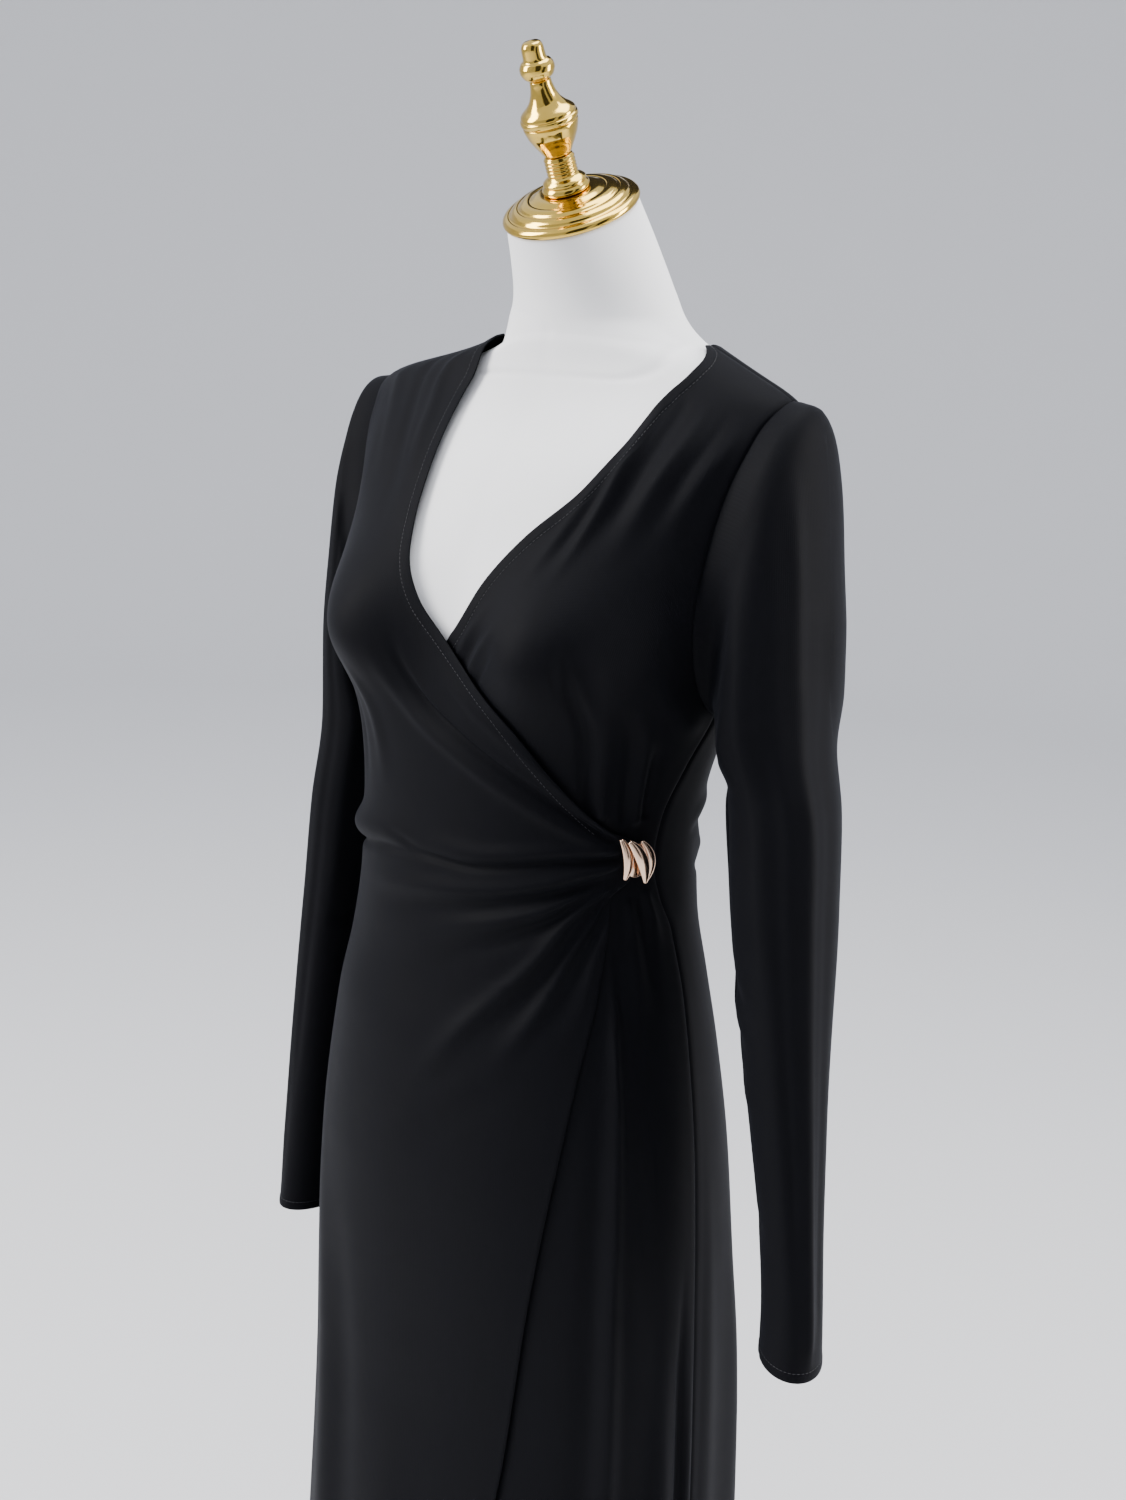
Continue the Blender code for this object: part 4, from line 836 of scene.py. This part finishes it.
def seam_allowance(heights):
    return SEAM_GAP / 2 / body_section(heights)[..., 0]


def metres_for_turn(angle, heights):
    """How far the cloth runs for each radian of angle."""
    turn = 1e-3
    run = body_skin(angle + turn, heights) - body_skin(angle - turn, heights)
    return np.linalg.norm(run, axis=-1) / (2 * turn)


def distance_to(edge, heights, angle, height):
    """How far each point of a panel lies from one of its edges."""
    line, cloth = body_skin(edge, heights), body_skin(angle, height)
    result = np.empty(angle.shape)
    for row in range(len(heights)):
        near = np.abs(heights - heights[row]) < 0.03
        result[row] = np.linalg.norm(cloth[row][:, None] - line[near][None], axis=-1).min(axis=1)
    return result


def steady(limit, heights):
    """A line below limit that moves slowly with height, so that columns never slant much."""
    apart = np.abs(heights[:, None] - heights[None, :])
    lowest = np.where(apart < COLUMN_REACH, limit[None, :], np.inf).min(axis=1)
    share = np.exp(-((apart / COLUMN_BLUR) ** 2)) * np.gradient(heights)[None, :]
    return (share * lowest[None, :]).sum(axis=1) / share.sum(axis=1)


def spread(heights, left, right, near_left, near_right):
    """Angles of a panel's columns, close together at its edges, and each point's distance from them."""
    sides = []
    for edge, near, way in ((left, near_left, -1), (right, near_right, 1)):
        room = np.minimum(near[-1] / metres_for_turn(edge, heights), (right - left) * EDGE_SHARE)
        reach = edge - way * room
        if near is SEAM_EDGE:
            # Columns beside a seam stay steady past the armhole, but never cross the panel.
            reach = way * np.minimum(steady(way * reach, heights), way * reach)
            reach = edge - way * np.minimum(way * (edge - reach), (right - left) * SEAM_SHARE)
        sides.append(edge[:, None] + (reach - edge)[:, None] * np.array(near)[None] / near[-1])
    first, last = sides[0], sides[1][:, ::-1]
    share = np.linspace(0, 1, MIDDLE_COLUMNS + 2)[1:-1]
    middle = first[:, -1:] + (last[:, :1] - first[:, -1:]) * share
    angle = np.concatenate([first, middle, last], axis=1)
    height = np.broadcast_to(heights[:, None], angle.shape)
    from_left = distance_to(left, heights, angle, height)
    return angle, height, from_left, distance_to(right, heights, angle, height)


def swell(distance, centre, width):
    """A smooth bump, 1 high, across a line at a distance."""
    return np.exp(-(((distance - centre) / width) ** 2))


def turned_edge(distance, turning, step=0.00030):
    """The relief of a turned and stitched edge: a thicker band, and the line that the stitches pull in."""
    band = step * (1 - ease_between(distance, turning - 0.0002, turning + 0.0012))
    return band - 0.00042 * swell(distance, turning, 0.0007) - 0.00025 * swell(distance, 0, 0.0010)


def edge_relief(distance, height):
    """A stitched band along the neckline and the wrap edge, and a plain turned edge on the skirt."""
    stitched = turned_edge(distance, EDGE_TURNING)
    plain = 0.00022 * swell(distance, 0.0016, 0.0016) - 0.00025 * swell(distance, 0, 0.0010)
    return plain + (stitched - plain) * ease_between(height, 1.010, 1.050)


def seam_dip(distance):
    """Cloth rolls down into a seam, with a slight swelling beside it."""
    return 0.0002 * swell(distance, 0.005, 0.003) - 0.0009 * swell(distance, 0, 0.0013)


def panel(name, angle, height, out):
    outer = body_offset(angle, height, out)
    inner = body_offset(angle, height, out - WALL)
    maps = np.stack([angle * FOLD_RADIUS + 1.0, height], axis=-1)
    return cloth_shell(name, outer, inner, maps, black_jersey)


def right_front():
    """The over front, gathered to the clasp."""
    heights = panel_heights(RIGHT_NECK_HEIGHT)
    seam = np.full(heights.shape, math.radians(RIGHT_SEAM_ANGLE))
    left = -side_limits(heights, seam, ARMHOLE_FRONT) + seam_allowance(heights)
    right = np.radians(over_edge(heights)[:, 0])
    angle, height, from_seam, from_edge = spread(heights, left, right, SEAM_EDGE, FREE_EDGE)
    out = crease_relief(OVER_CREASES, FOLD_RADIUS, angle * FOLD_RADIUS, height)
    out = soft_floor(out * ease_between(from_seam, 0.0, SEAM_CALM), OVER_DEPTH)
    out = out - LAYER_STEP * (1 - ease_between(from_seam, 0.0, OVER_LAP))
    out = out + edge_relief(from_edge, height) + seam_dip(from_seam)
    out = out + turned_edge(height - HEM_HEIGHT, HEM_TURNING) + seam_dip(RIGHT_NECK_HEIGHT - height)
    line = stitch_line(angle, height, out, from_edge, EDGE_TURNING, OVER_STITCH_FOOT)
    return panel("over_front", angle, height, out), line


def left_front():
    """The under front, which runs on flat beneath the over front."""
    heights = panel_heights(LEFT_NECK_HEIGHT)
    seam = np.radians(left_seam(heights)[:, 0])
    right = side_limits(heights, seam, ARMHOLE_FRONT) - seam_allowance(heights)
    left = np.radians(under_edge(heights)[:, 0])
    angle, height, from_edge, from_seam = spread(heights, left, right, FREE_EDGE, SEAM_EDGE)
    clear = np.radians(over_edge(heights)[:, 0])[:, None]
    shown = np.where(height > 1.184, 1.0, ease_between(angle, clear - 0.03, clear + 0.03))
    out = crease_relief(UNDER_CREASES, FOLD_RADIUS, angle * FOLD_RADIUS, height)
    out = soft_floor(out * ease_between(from_seam, -0.002, SEAM_CALM - 0.002), UNDER_DEPTH) * shown
    out = out - COVERED_DEPTH * (1 - shown) - LAYER_STEP
    out = out + edge_relief(from_edge, height) + seam_dip(from_seam)
    out = out + turned_edge(height - HEM_HEIGHT, HEM_TURNING) + seam_dip(LEFT_NECK_HEIGHT - height)
    line = stitch_line(angle, height, out, from_edge, EDGE_TURNING, UNDER_STITCH_FOOT)
    return panel("under_front", angle, height, out), line


def back():
    """The back, with a shallow round neck."""
    left_heights, right_heights = panel_heights(LEFT_NECK_HEIGHT), panel_heights(RIGHT_NECK_HEIGHT)
    left_line = math.pi - np.radians(left_seam(left_heights)[:, 0])
    right_line = np.full(right_heights.shape, math.radians(180 - RIGHT_SEAM_ANGLE))
    left = math.pi - side_limits(left_heights, left_line, -ARMHOLE_BACK) + seam_allowance(left_heights)
    right = math.pi + side_limits(right_heights, right_line, -ARMHOLE_BACK) - seam_allowance(right_heights)
    angle, _, from_left, from_right = spread(left_heights, left, right, SEAM_EDGE, SEAM_EDGE)
    share = (angle - left[:, None]) / (right - left)[:, None]
    height = left_heights[:, None] + (right_heights - left_heights)[:, None] * share
    rising = ease_between(height, ARMHOLE_TOP - 0.06, LEFT_NECK_HEIGHT)
    height = height - BACK_NECK_DROP * rising * np.sin(math.pi * share) ** 1.3
    out = crease_relief(BACK_CREASES, FOLD_RADIUS, angle * FOLD_RADIUS, height)
    out = out * ease_between(np.minimum(from_left, from_right), 0.0, SEAM_CALM)
    out = soft_floor(out, BACK_DEPTH) - LAYER_STEP
    out = out + seam_dip(from_left) + seam_dip(from_right)
    out = out + turned_edge(height - HEM_HEIGHT, HEM_TURNING)
    return panel("back", angle, height, out)


# ---------------------------------------------------------------- the sleeves
def sleeve_rings(side, head, tube, twist, turn):
    """The sleeve's own rings, from its armhole to its cuff."""
    height = ARMHOLE_MIDDLE + ARMHOLE_HALF * np.cos(turn)
    in_front = turn <= math.pi
    behind = math.pi - armhole_angle(height, -ARMHOLE_BACK)
    angle = np.where(in_front, armhole_angle(height, ARMHOLE_FRONT), behind)
    inwards = np.where(in_front, -TUCK, TUCK) * np.abs(np.sin(turn)) / 0.14
    tucked_height = ARMHOLE_MIDDLE + (ARMHOLE_HALF + TUCK) * np.cos(turn)
    tucked = np.full(angle.shape, -LAYER_STEP - 0.0019)
    first = body_offset((angle + inwards) * side, tucked_height, tucked)
    turn = turn[:, None]
    rings = []
    for ix, iy, iz, ox, oy, oz, depth in head:
        low, high = np.array((ix, iy, iz)), np.array((ox, oy, oz))
        egg = np.sin(turn) * (1 + SLEEVE_HEAD_EGG * np.cos(turn))
        rings.append((low + high) / 2 + np.cos(turn) * (high - low) / 2 + egg * np.array((0, -depth, 0)))
    yaw = math.radians(twist)
    outward = np.array((math.cos(yaw), math.sin(yaw), 0))
    forward = np.array((math.sin(yaw), -math.cos(yaw), 0))
    for level, x, y, width, depth in tube:
        round_it = np.cos(turn) * outward * width + np.sin(turn) * forward * depth
        rings.append(np.array((x, y, level)) + round_it)
    rings = np.array(rings) * (side, 1, 1)
    rings[..., 2] += shoulder_tilt(rings[..., 0], rings[..., 2])
    return np.concatenate([first[None], rings])


def sleeve(name, side, head, tube, twist, creases):
    """A set-in sleeve, hanging empty, with its cuff turned up and stitched."""
    turn = np.linspace(0, 2 * math.pi, SLEEVE_SIDES, endpoint=False)
    rings = sleeve_rings(side, head, tube, twist, turn)
    steps = np.linalg.norm(np.diff(rings, axis=0), axis=-1).mean(axis=1)
    known = np.concatenate([[0], np.cumsum(steps)])
    total = known[-1]
    middle = np.linspace(SLEEVE_HEAD_ROWS[-1], total - CUFF_ROWS[-1], SLEEVE_ROWS)[1:-1]
    along = np.concatenate([SLEEVE_HEAD_ROWS, middle, total - np.array(CUFF_ROWS[::-1])])
    table = np.column_stack([known, rings.reshape(len(rings), -1)])
    grid = smooth_curve(table)(along).reshape(len(along), len(turn), 3)
    around = np.roll(grid, -1, axis=1) - np.roll(grid, 1, axis=1)
    down = np.gradient(grid, axis=0)
    normal = np.cross(around, down) * side
    normal /= np.linalg.norm(normal, axis=-1, keepdims=True)
    untwisted = 1 - ease_between(along, known[len(head)], known[len(head) + 1])
    across = (turn[None] + math.radians(twist) * untwisted[:, None]) * SLEEVE_RADIUS
    once_round = 2 * math.pi * SLEEVE_RADIUS
    relief = crease_relief(creases, SLEEVE_RADIUS, across, grid[..., 2])
    relief += crease_relief(creases, SLEEVE_RADIUS, across - once_round, grid[..., 2])
    down_arm = along[:, None]
    relief *= ease_between(down_arm, 0.0, 0.016)
    relief = relief + turned_edge(total - down_arm, CUFF_TURNING, 0.00035)
    relief = relief + 0.0004 * swell(down_arm, 0.006, 0.003)
    under_seam = swell((turn[None] - math.pi) * SLEEVE_RADIUS, 0, 0.0016)
    relief = relief - 0.0009 * under_seam * ease_between(down_arm, 0, 0.02)
    outer, inner = grid + normal * relief[..., None], grid + normal * (relief - WALL)[..., None]
    maps = np.stack([across, -np.broadcast_to(along[:, None], across.shape)], axis=-1)
    row = int(np.argmin(np.abs(total - along - CUFF_TURNING)))
    line = outer[row] + normal[row] * THREAD_RADIUS * 0.4
    if side > 0:
        outer, inner, maps = outer[:, ::-1], inner[:, ::-1], maps[:, ::-1]
    made = cloth_shell(name, outer[::-1], inner[::-1], maps[::-1], black_jersey, tube=True)
    return made, line


# ---------------------------------------------------------------- stitches
def stitch_line(angle, height, out, distance, turning, foot):
    """Points on the cloth, a fixed distance in from an edge, row by row."""
    points = []
    half = angle.shape[1] // 2
    near = slice(0, half) if distance[0, 0] < distance[0, -1] else slice(None, half, -1)
    for row in range(1, len(angle) - 1):
        if height[row, 0] < foot:
            continue
        where = np.interp(turning, distance[row, near], angle[row, near])
        lift = np.interp(turning, distance[row, near], out[row, near])
        points.append((where, height[row, 0], lift + THREAD_RADIUS * 0.5))
    table = np.array(points)
    return body_offset(table[:, 0], table[:, 1], table[:, 2])


def stitch_tree():
    """Short rounded stitches, end to end along a line, as a node tree with named sizes."""
    tree = bpy.data.node_groups.new("topstitch", "GeometryNodeTree")
    face = tree.interface
    face.new_socket("Geometry", in_out="INPUT", socket_type="NodeSocketGeometry")
    sizes = {"Stitch step": THREAD_STEP, "Stitch length": THREAD_LENGTH, "Thread radius": THREAD_RADIUS}
    for label, value in sizes.items():
        face.new_socket(label, in_out="INPUT", socket_type="NodeSocketFloat").default_value = value
    face.new_socket("Thread", in_out="INPUT", socket_type="NodeSocketMaterial")
    face.new_socket("Geometry", in_out="OUTPUT", socket_type="NodeSocketGeometry")
    nodes, links = tree.nodes, tree.links

    def add(kind, settings=None, **inputs):
        made = nodes.new(kind)
        for key, value in (settings or {}).items():
            setattr(made, key, value)
        for key, value in inputs.items():
            socket = made.inputs[key.replace("_", " ")]
            if isinstance(value, bpy.types.NodeSocket):
                links.new(value, socket)
            else:
                socket.default_value = value
        return made

    start, end = nodes.new("NodeGroupInput"), nodes.new("NodeGroupOutput")
    given = start.outputs
    path, step = given["Geometry"], given["Stitch step"]
    spaced = add("GeometryNodeResampleCurve", {"mode": "LENGTH"}, Curve=path, Length=step)
    capsule = add("GeometryNodeMeshUVSphere", None, Segments=6, Rings=4, Radius=0.5)
    tangent = add("GeometryNodeInputTangent")
    aim = add("FunctionNodeAlignRotationToVector", {"axis": "Z"}, Vector=tangent.outputs[0])
    width = add("ShaderNodeMath", {"operation": "MULTIPLY"})
    links.new(given["Thread radius"], width.inputs[0])
    width.inputs[1].default_value = 2.0
    thick = width.outputs[0]
    size = add("ShaderNodeCombineXYZ", None, X=thick, Y=thick, Z=given["Stitch length"])
    placed = add(
        "GeometryNodeInstanceOnPoints", None, Points=spaced.outputs[0], Instance=capsule.outputs[0],
        Rotation=aim.outputs[0], Scale=size.outputs[0],
    )
    whole = add("GeometryNodeRealizeInstances", None, Geometry=placed.outputs[0])
    dyed = add("GeometryNodeSetMaterial", None, Geometry=whole.outputs[0], Material=given["Thread"])
    links.new(dyed.outputs[0], end.inputs[0])
    return tree


def stitches(name, lines, tree):
    """Sews each line of points; closed lines meet themselves."""
    curve = bpy.data.curves.new(name + "_path", "CURVE")
    curve.dimensions = "3D"
    for points, closed in lines:
        spline = curve.splines.new("POLY")
        spline.points.add(len(points) - 1)
        spline.points.foreach_set("co", np.column_stack([points, np.ones(len(points))]).ravel())
        spline.use_cyclic_u = closed
    path = in_scene(name + "_path", curve)
    sewing = path.modifiers.new("topstitch", "NODES")
    sewing.node_group = tree
    for item in tree.interface.items_tree:
        if item.item_type == "SOCKET" and item.in_out == "INPUT" and item.name == "Thread":
            sewing[item.identifier] = black_thread
    bpy.context.view_layer.update()
    graph = bpy.context.evaluated_depsgraph_get()
    mesh = bpy.data.meshes.new_from_object(path.evaluated_get(graph), depsgraph=graph)
    mesh.name = name
    mesh.shade_smooth()
    bpy.data.objects.remove(path)
    return finished(in_scene(name, mesh), "jersey")


# ---------------------------------------------------------------- the clasp
def clasp_frame():
    """The clasp's centre on the dress, and its directions sideways, up and outwards."""
    angle, height = math.radians(CLASP_ANGLE), CLASP_HEIGHT
    centre = body_skin(angle, height)
    sideways = body_skin(angle + 0.02, height) - body_skin(angle - 0.02, height)
    sideways /= np.linalg.norm(sideways)
    up = np.array((0.0, 0.0, 1.0))
    return centre, sideways, up, np.cross(sideways, up)


def clasp_leaf(name, spine, width, stand_off):
    """A domed, bowed leaf that tapers to a tip at the top and is blunter at its foot."""
    centre, across, above, outwards = clasp_frame()
    top, middle, foot = np.array(spine) / 1000
    bend = 2 * middle - (top + foot) / 2
    rings = []
    for share in np.linspace(0, 1, 49):
        point = (1 - share) ** 2 * top + 2 * share * (1 - share) * bend + share**2 * foot
        tip = 2 * (1 - share) * (bend - top) + 2 * share * (foot - bend)
        tip /= np.linalg.norm(tip)
        side = np.array((-tip[1], tip[0]))
        reach = width / 2000 * min(1, math.sin(math.pi * min(share * 0.92 + 0.04, 1)) ** 0.62) + 0.0002
        a = np.linspace(0, 2 * math.pi, 32, endpoint=False)
        flat = point + side * (reach * np.cos(a))[:, None]
        dome = np.where(np.sin(a) > 0, 0.0021, 0.0008) * np.sin(a) * (0.25 + 0.75 * reach / (width / 2000))
        out = stand_off + dome - 0.0016 * (2 * share - 1) ** 2
        rings.append(centre + across * flat[:, :1] + above * flat[:, 1:] + outwards * out[:, None])
    return ring_solid("clasp_leaf_piece_" + name, rings, rose_plate)


def clasp_plate():
    centre, across, above, outwards = clasp_frame()
    width, height, thickness = CLASP_PLATE
    a = np.linspace(0, 2 * math.pi, 48, endpoint=False)
    rings = []
    edge = ((0, 0.0005), (0.0002, 0.0001), (0.0005, 0), (0.0009, 0), (0.0012, 0.0001), (thickness, 0.0005))
    for out, inset in edge:
        flat = across * ((width / 2 - inset) * np.cos(a))[:, None]
        flat = flat + above * ((height / 2 - inset) * np.sin(a))[:, None]
        rings.append(centre + flat + outwards * (CLASP_PLATE_OUT + out))
    return ring_solid("clasp_back_plate", rings, rose_plate)


# ---------------------------------------------------------------- the form and its stand
def form_torso():
    """The padded torso and neck in their white cover, with its seams pulled in."""
    turn = np.linspace(0, 2 * math.pi, 144, endpoint=False)
    rings = []
    for step in np.linspace(0, math.pi / 2, 7):
        height = FORM_BOTTOM + 0.012 * (1 - math.cos(step))
        inset = FORM_INSET + FORM_ROUNDING * (1 - math.sin(step))
        ring = body_offset(turn, np.full(turn.shape, height), np.full(turn.shape, -inset))
        rings.append(ring)
    heights = np.concatenate([np.linspace(0.716, 1.335, 150), np.linspace(1.3362, 1.387, 44)])
    neck_seam = smooth_curve(NECK_SEAM)
    signed = (turn + math.pi) % (2 * math.pi) - math.pi
    seam_height = neck_seam(signed)[:, 0]
    for height in heights:
        level = np.full(turn.shape, height)
        pulled = 0.0011 * np.exp(-(((height - seam_height) / 0.0020) ** 2))
        pulled += 0.0006 * np.exp(-((signed * 0.11 / 0.0016) ** 2))
        rings.append(body_offset(turn, level, -FORM_INSET - pulled))
    neck = [rings[-10], rings[-1]]  # two rings of the shoulders lead the neck's curve in
    for height, y, lean, width, depth, flare in NECK_RINGS:
        across = width * np.sin(turn) + flare * np.clip(np.sin(turn), 0, 1) ** 2
        flat = np.stack([across, -depth * np.cos(turn), 0 * turn], axis=-1)
        neck.append(flat @ lean_matrix(lean).T + (0, y, height))
    lengths = [np.linalg.norm(b - a, axis=-1).mean() for a, b in zip(neck[:-1], neck[1:])]
    steps = [0, *np.cumsum(lengths)]
    smooth = smooth_curve(np.column_stack([steps, np.array(neck).reshape(len(neck), -1)]))
    for step in np.linspace(steps[1], steps[-1], 34)[1:]:
        rings.append(smooth(step).reshape(-1, 3))
    return ring_solid("form_body", rings, white_cover)


def neck_top():
    height, y, lean = NECK_RINGS[-1][:3]
    return np.array((0, y, height)) + lean_matrix(lean) @ (0, 0, 1) * SEAM_GAP, lean


def neck_trim():
    origin, lean = neck_top()
    for name, profile, node in (
        ("gold_neck_cap", CAP_PROFILE, "neck_cap"), ("gold_collar", COLLAR_PROFILE, "finial_collar"),
        ("gold_urn", URN_PROFILE, "finial_urn"), ("gold_tip", TIP_PROFILE, "finial_tip"),
    ):
        finished(turned(name, profile, gold_plate, 112, origin, lean, 2, 0.16), "gold", node)


def stand():
    """The round base, its hub, the pole and the socket under the form."""
    hub_foot = BASE_THICKNESS + SEAM_GAP
    hub_top = hub_foot + HUB_HEIGHT
    pole_foot = hub_top + SEAM_GAP
    pole_head = FORM_BOTTOM - SOCKET_HEIGHT - 2 * SEAM_GAP
    foot = pole_head + SEAM_GAP
    socket_top = foot + SOCKET_HEIGHT
    base = (
        (0, 0), (0, BASE_RADIUS - 0.003), (0.003, BASE_RADIUS), (0.009, BASE_RADIUS),
        (0.014, BASE_RADIUS - 0.010), (BASE_THICKNESS, HUB_RADIUS + 0.030), (BASE_THICKNESS, 0),
    )
    hub = (
        (hub_foot, 0), (hub_foot, HUB_RADIUS + 0.010), (hub_foot + 0.006, HUB_RADIUS + 0.008),
        (hub_foot + 0.012, HUB_RADIUS - 0.004), (hub_top - 0.008, POLE_RADIUS + 0.006),
        (hub_top, POLE_RADIUS + 0.004), (hub_top, 0),
    )
    pole = (
        (pole_foot, 0), (pole_foot, POLE_RADIUS - 0.001), (pole_foot + 0.001, POLE_RADIUS),
        (0.25, POLE_RADIUS), (0.45, POLE_RADIUS), (pole_head - 0.001, POLE_RADIUS),
        (pole_head, POLE_RADIUS - 0.001), (pole_head, 0),
    )
    socket = (
        (foot, 0), (foot, POLE_RADIUS + 0.004), (foot + 0.010, POLE_RADIUS + 0.006),
        (socket_top - 0.008, SOCKET_RADIUS), (socket_top, SOCKET_RADIUS), (socket_top, 0),
    )
    for name, node, profile, steps, rounds, keep in (
        ("round_base", "stand_base", base, 160, 3, 0.12),
        ("base_hub", "stand_hub", hub, 96, 3, 0.12),
        ("round_pole", "stand_pole", pole, 64, 1, 0.1),
        ("form_socket", "stand_socket", socket, 96, 2, 0.12),
    ):
        finished(turned(name, profile, gold_plate, steps, rounds=rounds, keep=keep), "gold", node)


# ---------------------------------------------------------------- putting it together
over, over_line = right_front()
under, under_line = left_front()
back_panel = back()
left_arm, left_cuff_line = sleeve(
    "left_sleeve", 1, LEFT_SLEEVE_HEAD, LEFT_SLEEVE_TUBE, LEFT_SLEEVE_TURN, LEFT_SLEEVE_CREASES
)
right_arm, right_cuff_line = sleeve(
    "right_sleeve", -1, RIGHT_SLEEVE_HEAD, RIGHT_SLEEVE_TUBE, RIGHT_SLEEVE_TURN, RIGHT_SLEEVE_CREASES
)
torso = form_torso()

finished(over, "jersey", "dress_right_front")
finished(under, "jersey", "dress_left_front")
finished(back_panel, "jersey", "dress_back")
finished(left_arm, "jersey", "dress_left_sleeve")
finished(right_arm, "jersey", "dress_right_sleeve")
finished(torso, "form_cover", "form_torso")
for name, *leaf in CLASP_LEAVES:
    finished(clasp_leaf(name, *leaf), "rose_gold", "clasp_leaf_" + name)
finished(clasp_plate(), "rose_gold", "clasp_plate")
neck_trim()
stand()

tree = stitch_tree()
over_stitches = stitches("over_front_stitches", [(over_line, False)], tree)
under_stitches = stitches("under_front_stitches", [(under_line, False)], tree)
left_cuff_stitches = stitches("left_cuff_stitches", [(left_cuff_line, True)], tree)
right_cuff_stitches = stitches("right_cuff_stitches", [(right_cuff_line, True)], tree)


# ---------------------------------------------------------------- the studio
def studio_floor():
    """A pale floor that curves up into a wall all round."""
    steps = 96
    turn = np.linspace(0, 2 * math.pi, steps, endpoint=False)
    profile = [(0.0, 0.0), (0.6, 0.0), (1.5, 0.0), (3.5, 0.0), (5.0, 0.0)]
    bend = np.linspace(0.1, math.pi / 2, 14)
    profile += [(5.0 + 2.5 * math.sin(a), 2.5 - 2.5 * math.cos(a)) for a in bend]
    profile += [(7.5, 5.5)]
    points = [(0, 0, 0)]
    for radius, height in profile[1:]:
        points += [(radius * math.sin(t), -radius * math.cos(t), height) for t in turn]
    faces = [(0, 1 + (c + 1) % steps, 1 + c) for c in range(steps)]
    for r in range(len(profile) - 2):
        for c in range(steps):
            a, b = 1 + r * steps + c, 1 + r * steps + (c + 1) % steps
            faces.append((a, b, b + steps, a + steps))
    paint = plain_finish("pale_floor", (0.66, 0.66, 0.67), 0.7)
    add_mesh("studio_floor", points, [tuple(reversed(f)) for f in faces], paint)


def softbox(name, place, aim, size, power, colour=(1, 1, 1)):
    data = bpy.data.lights.new(name, "AREA")
    data.shape = "RECTANGLE"
    data.size, data.size_y = size
    data.energy = power
    data.color = colour
    made = in_scene(name, data)
    made.location = place
    made.rotation_euler = (Vector(aim) - Vector(place)).to_track_quat("-Z", "Y").to_euler()


def dark_card(name, place, aim, size):
    """A black card that only shows as a dark streak in polished metal."""
    across, up = size[0] / 2, size[1] / 2
    corners = [(-across, -up, 0), (across, -up, 0), (across, up, 0), (-across, up, 0)]
    paint = plain_finish(name + "_paint", (0.012, 0.012, 0.013), 0.9)
    made = add_mesh(name, corners, [(0, 1, 2, 3)], paint, smooth=False)
    made.location = place
    made.rotation_euler = (Vector(aim) - Vector(place)).to_track_quat("Z", "Y").to_euler()
    made.visible_camera = made.visible_diffuse = made.visible_shadow = False


def studio_light():
    world = bpy.data.worlds.new("soft_daylight")
    world.use_nodes = True
    bpy.context.scene.world = world
    ground = world.node_tree.nodes["Background"]
    ground.inputs["Color"].default_value = (0.86, 0.90, 1.0, 1)
    ground.inputs["Strength"].default_value = 1.25
    softbox("key_softbox", (-1.9, -1.9, 2.5), (0, 0, 1.1), (1.2, 2.4), 175, (1.0, 0.98, 0.96))
    softbox("side_softbox", (2.6, 1.5, 1.9), (0.1, 0, 1.0), (0.9, 2.6), 150, (1.0, 0.97, 0.94))
    softbox("top_softbox", (0.2, 0.3, 3.6), (0, 0, 1.0), (1.6, 1.6), 70)
    dark_card("near_dark_card", (1.9, -2.4, 1.9), (0, 0, 1.4), (1.9, 3.2))
    dark_card("side_dark_card", (2.5, -0.5, 1.6), (0, 0, 1.4), (0.9, 2.8))
    dark_card("high_dark_card", (-1.3, 2.1, 3.3), (0, 0, 1.48), (2.1, 1.7))


CAMERA_AZIMUTH = 37.8  # degrees from the front, towards the wearer's left
CAMERA_DISTANCE = 1.4076
CAMERA_HEIGHT = 1.45
CAMERA_PITCH = 14.4
CAMERA_ROLL = 3.05
CAMERA_YAW = -0.62
FOCAL_SHARE = 4 / 3  # focal length against the height of the image
SENSOR_HEIGHT = 24.0  # mm


def camera():
    azimuth, pitch = math.radians(CAMERA_AZIMUTH), math.radians(CAMERA_PITCH)
    away = Vector((math.sin(azimuth), -math.cos(azimuth), 0)) * CAMERA_DISTANCE
    place = away + Vector((0, 0, CAMERA_HEIGHT))
    heading, roll = azimuth + math.radians(CAMERA_YAW), math.radians(CAMERA_ROLL)
    level = Vector((-math.sin(heading), math.cos(heading), 0)) * math.cos(pitch)
    forward = level - Vector((0, 0, math.sin(pitch)))
    right = forward.cross(Vector((0, 0, 1))).normalized()
    up = right.cross(forward)
    rolled_right = right * math.cos(roll) + up * math.sin(roll)
    rolled_up = up * math.cos(roll) - right * math.sin(roll)
    data = bpy.data.cameras.new("camera")
    data.sensor_fit = "VERTICAL"
    data.sensor_height = SENSOR_HEIGHT
    data.lens = FOCAL_SHARE * SENSOR_HEIGHT
    data.clip_start = 0.05
    made = in_scene("camera", data)
    turn = Matrix((rolled_right, rolled_up, -forward)).transposed()
    made.matrix_world = Matrix.Translation(place) @ turn.to_4x4()
    bpy.context.scene.camera = made


studio_floor()
studio_light()
camera()
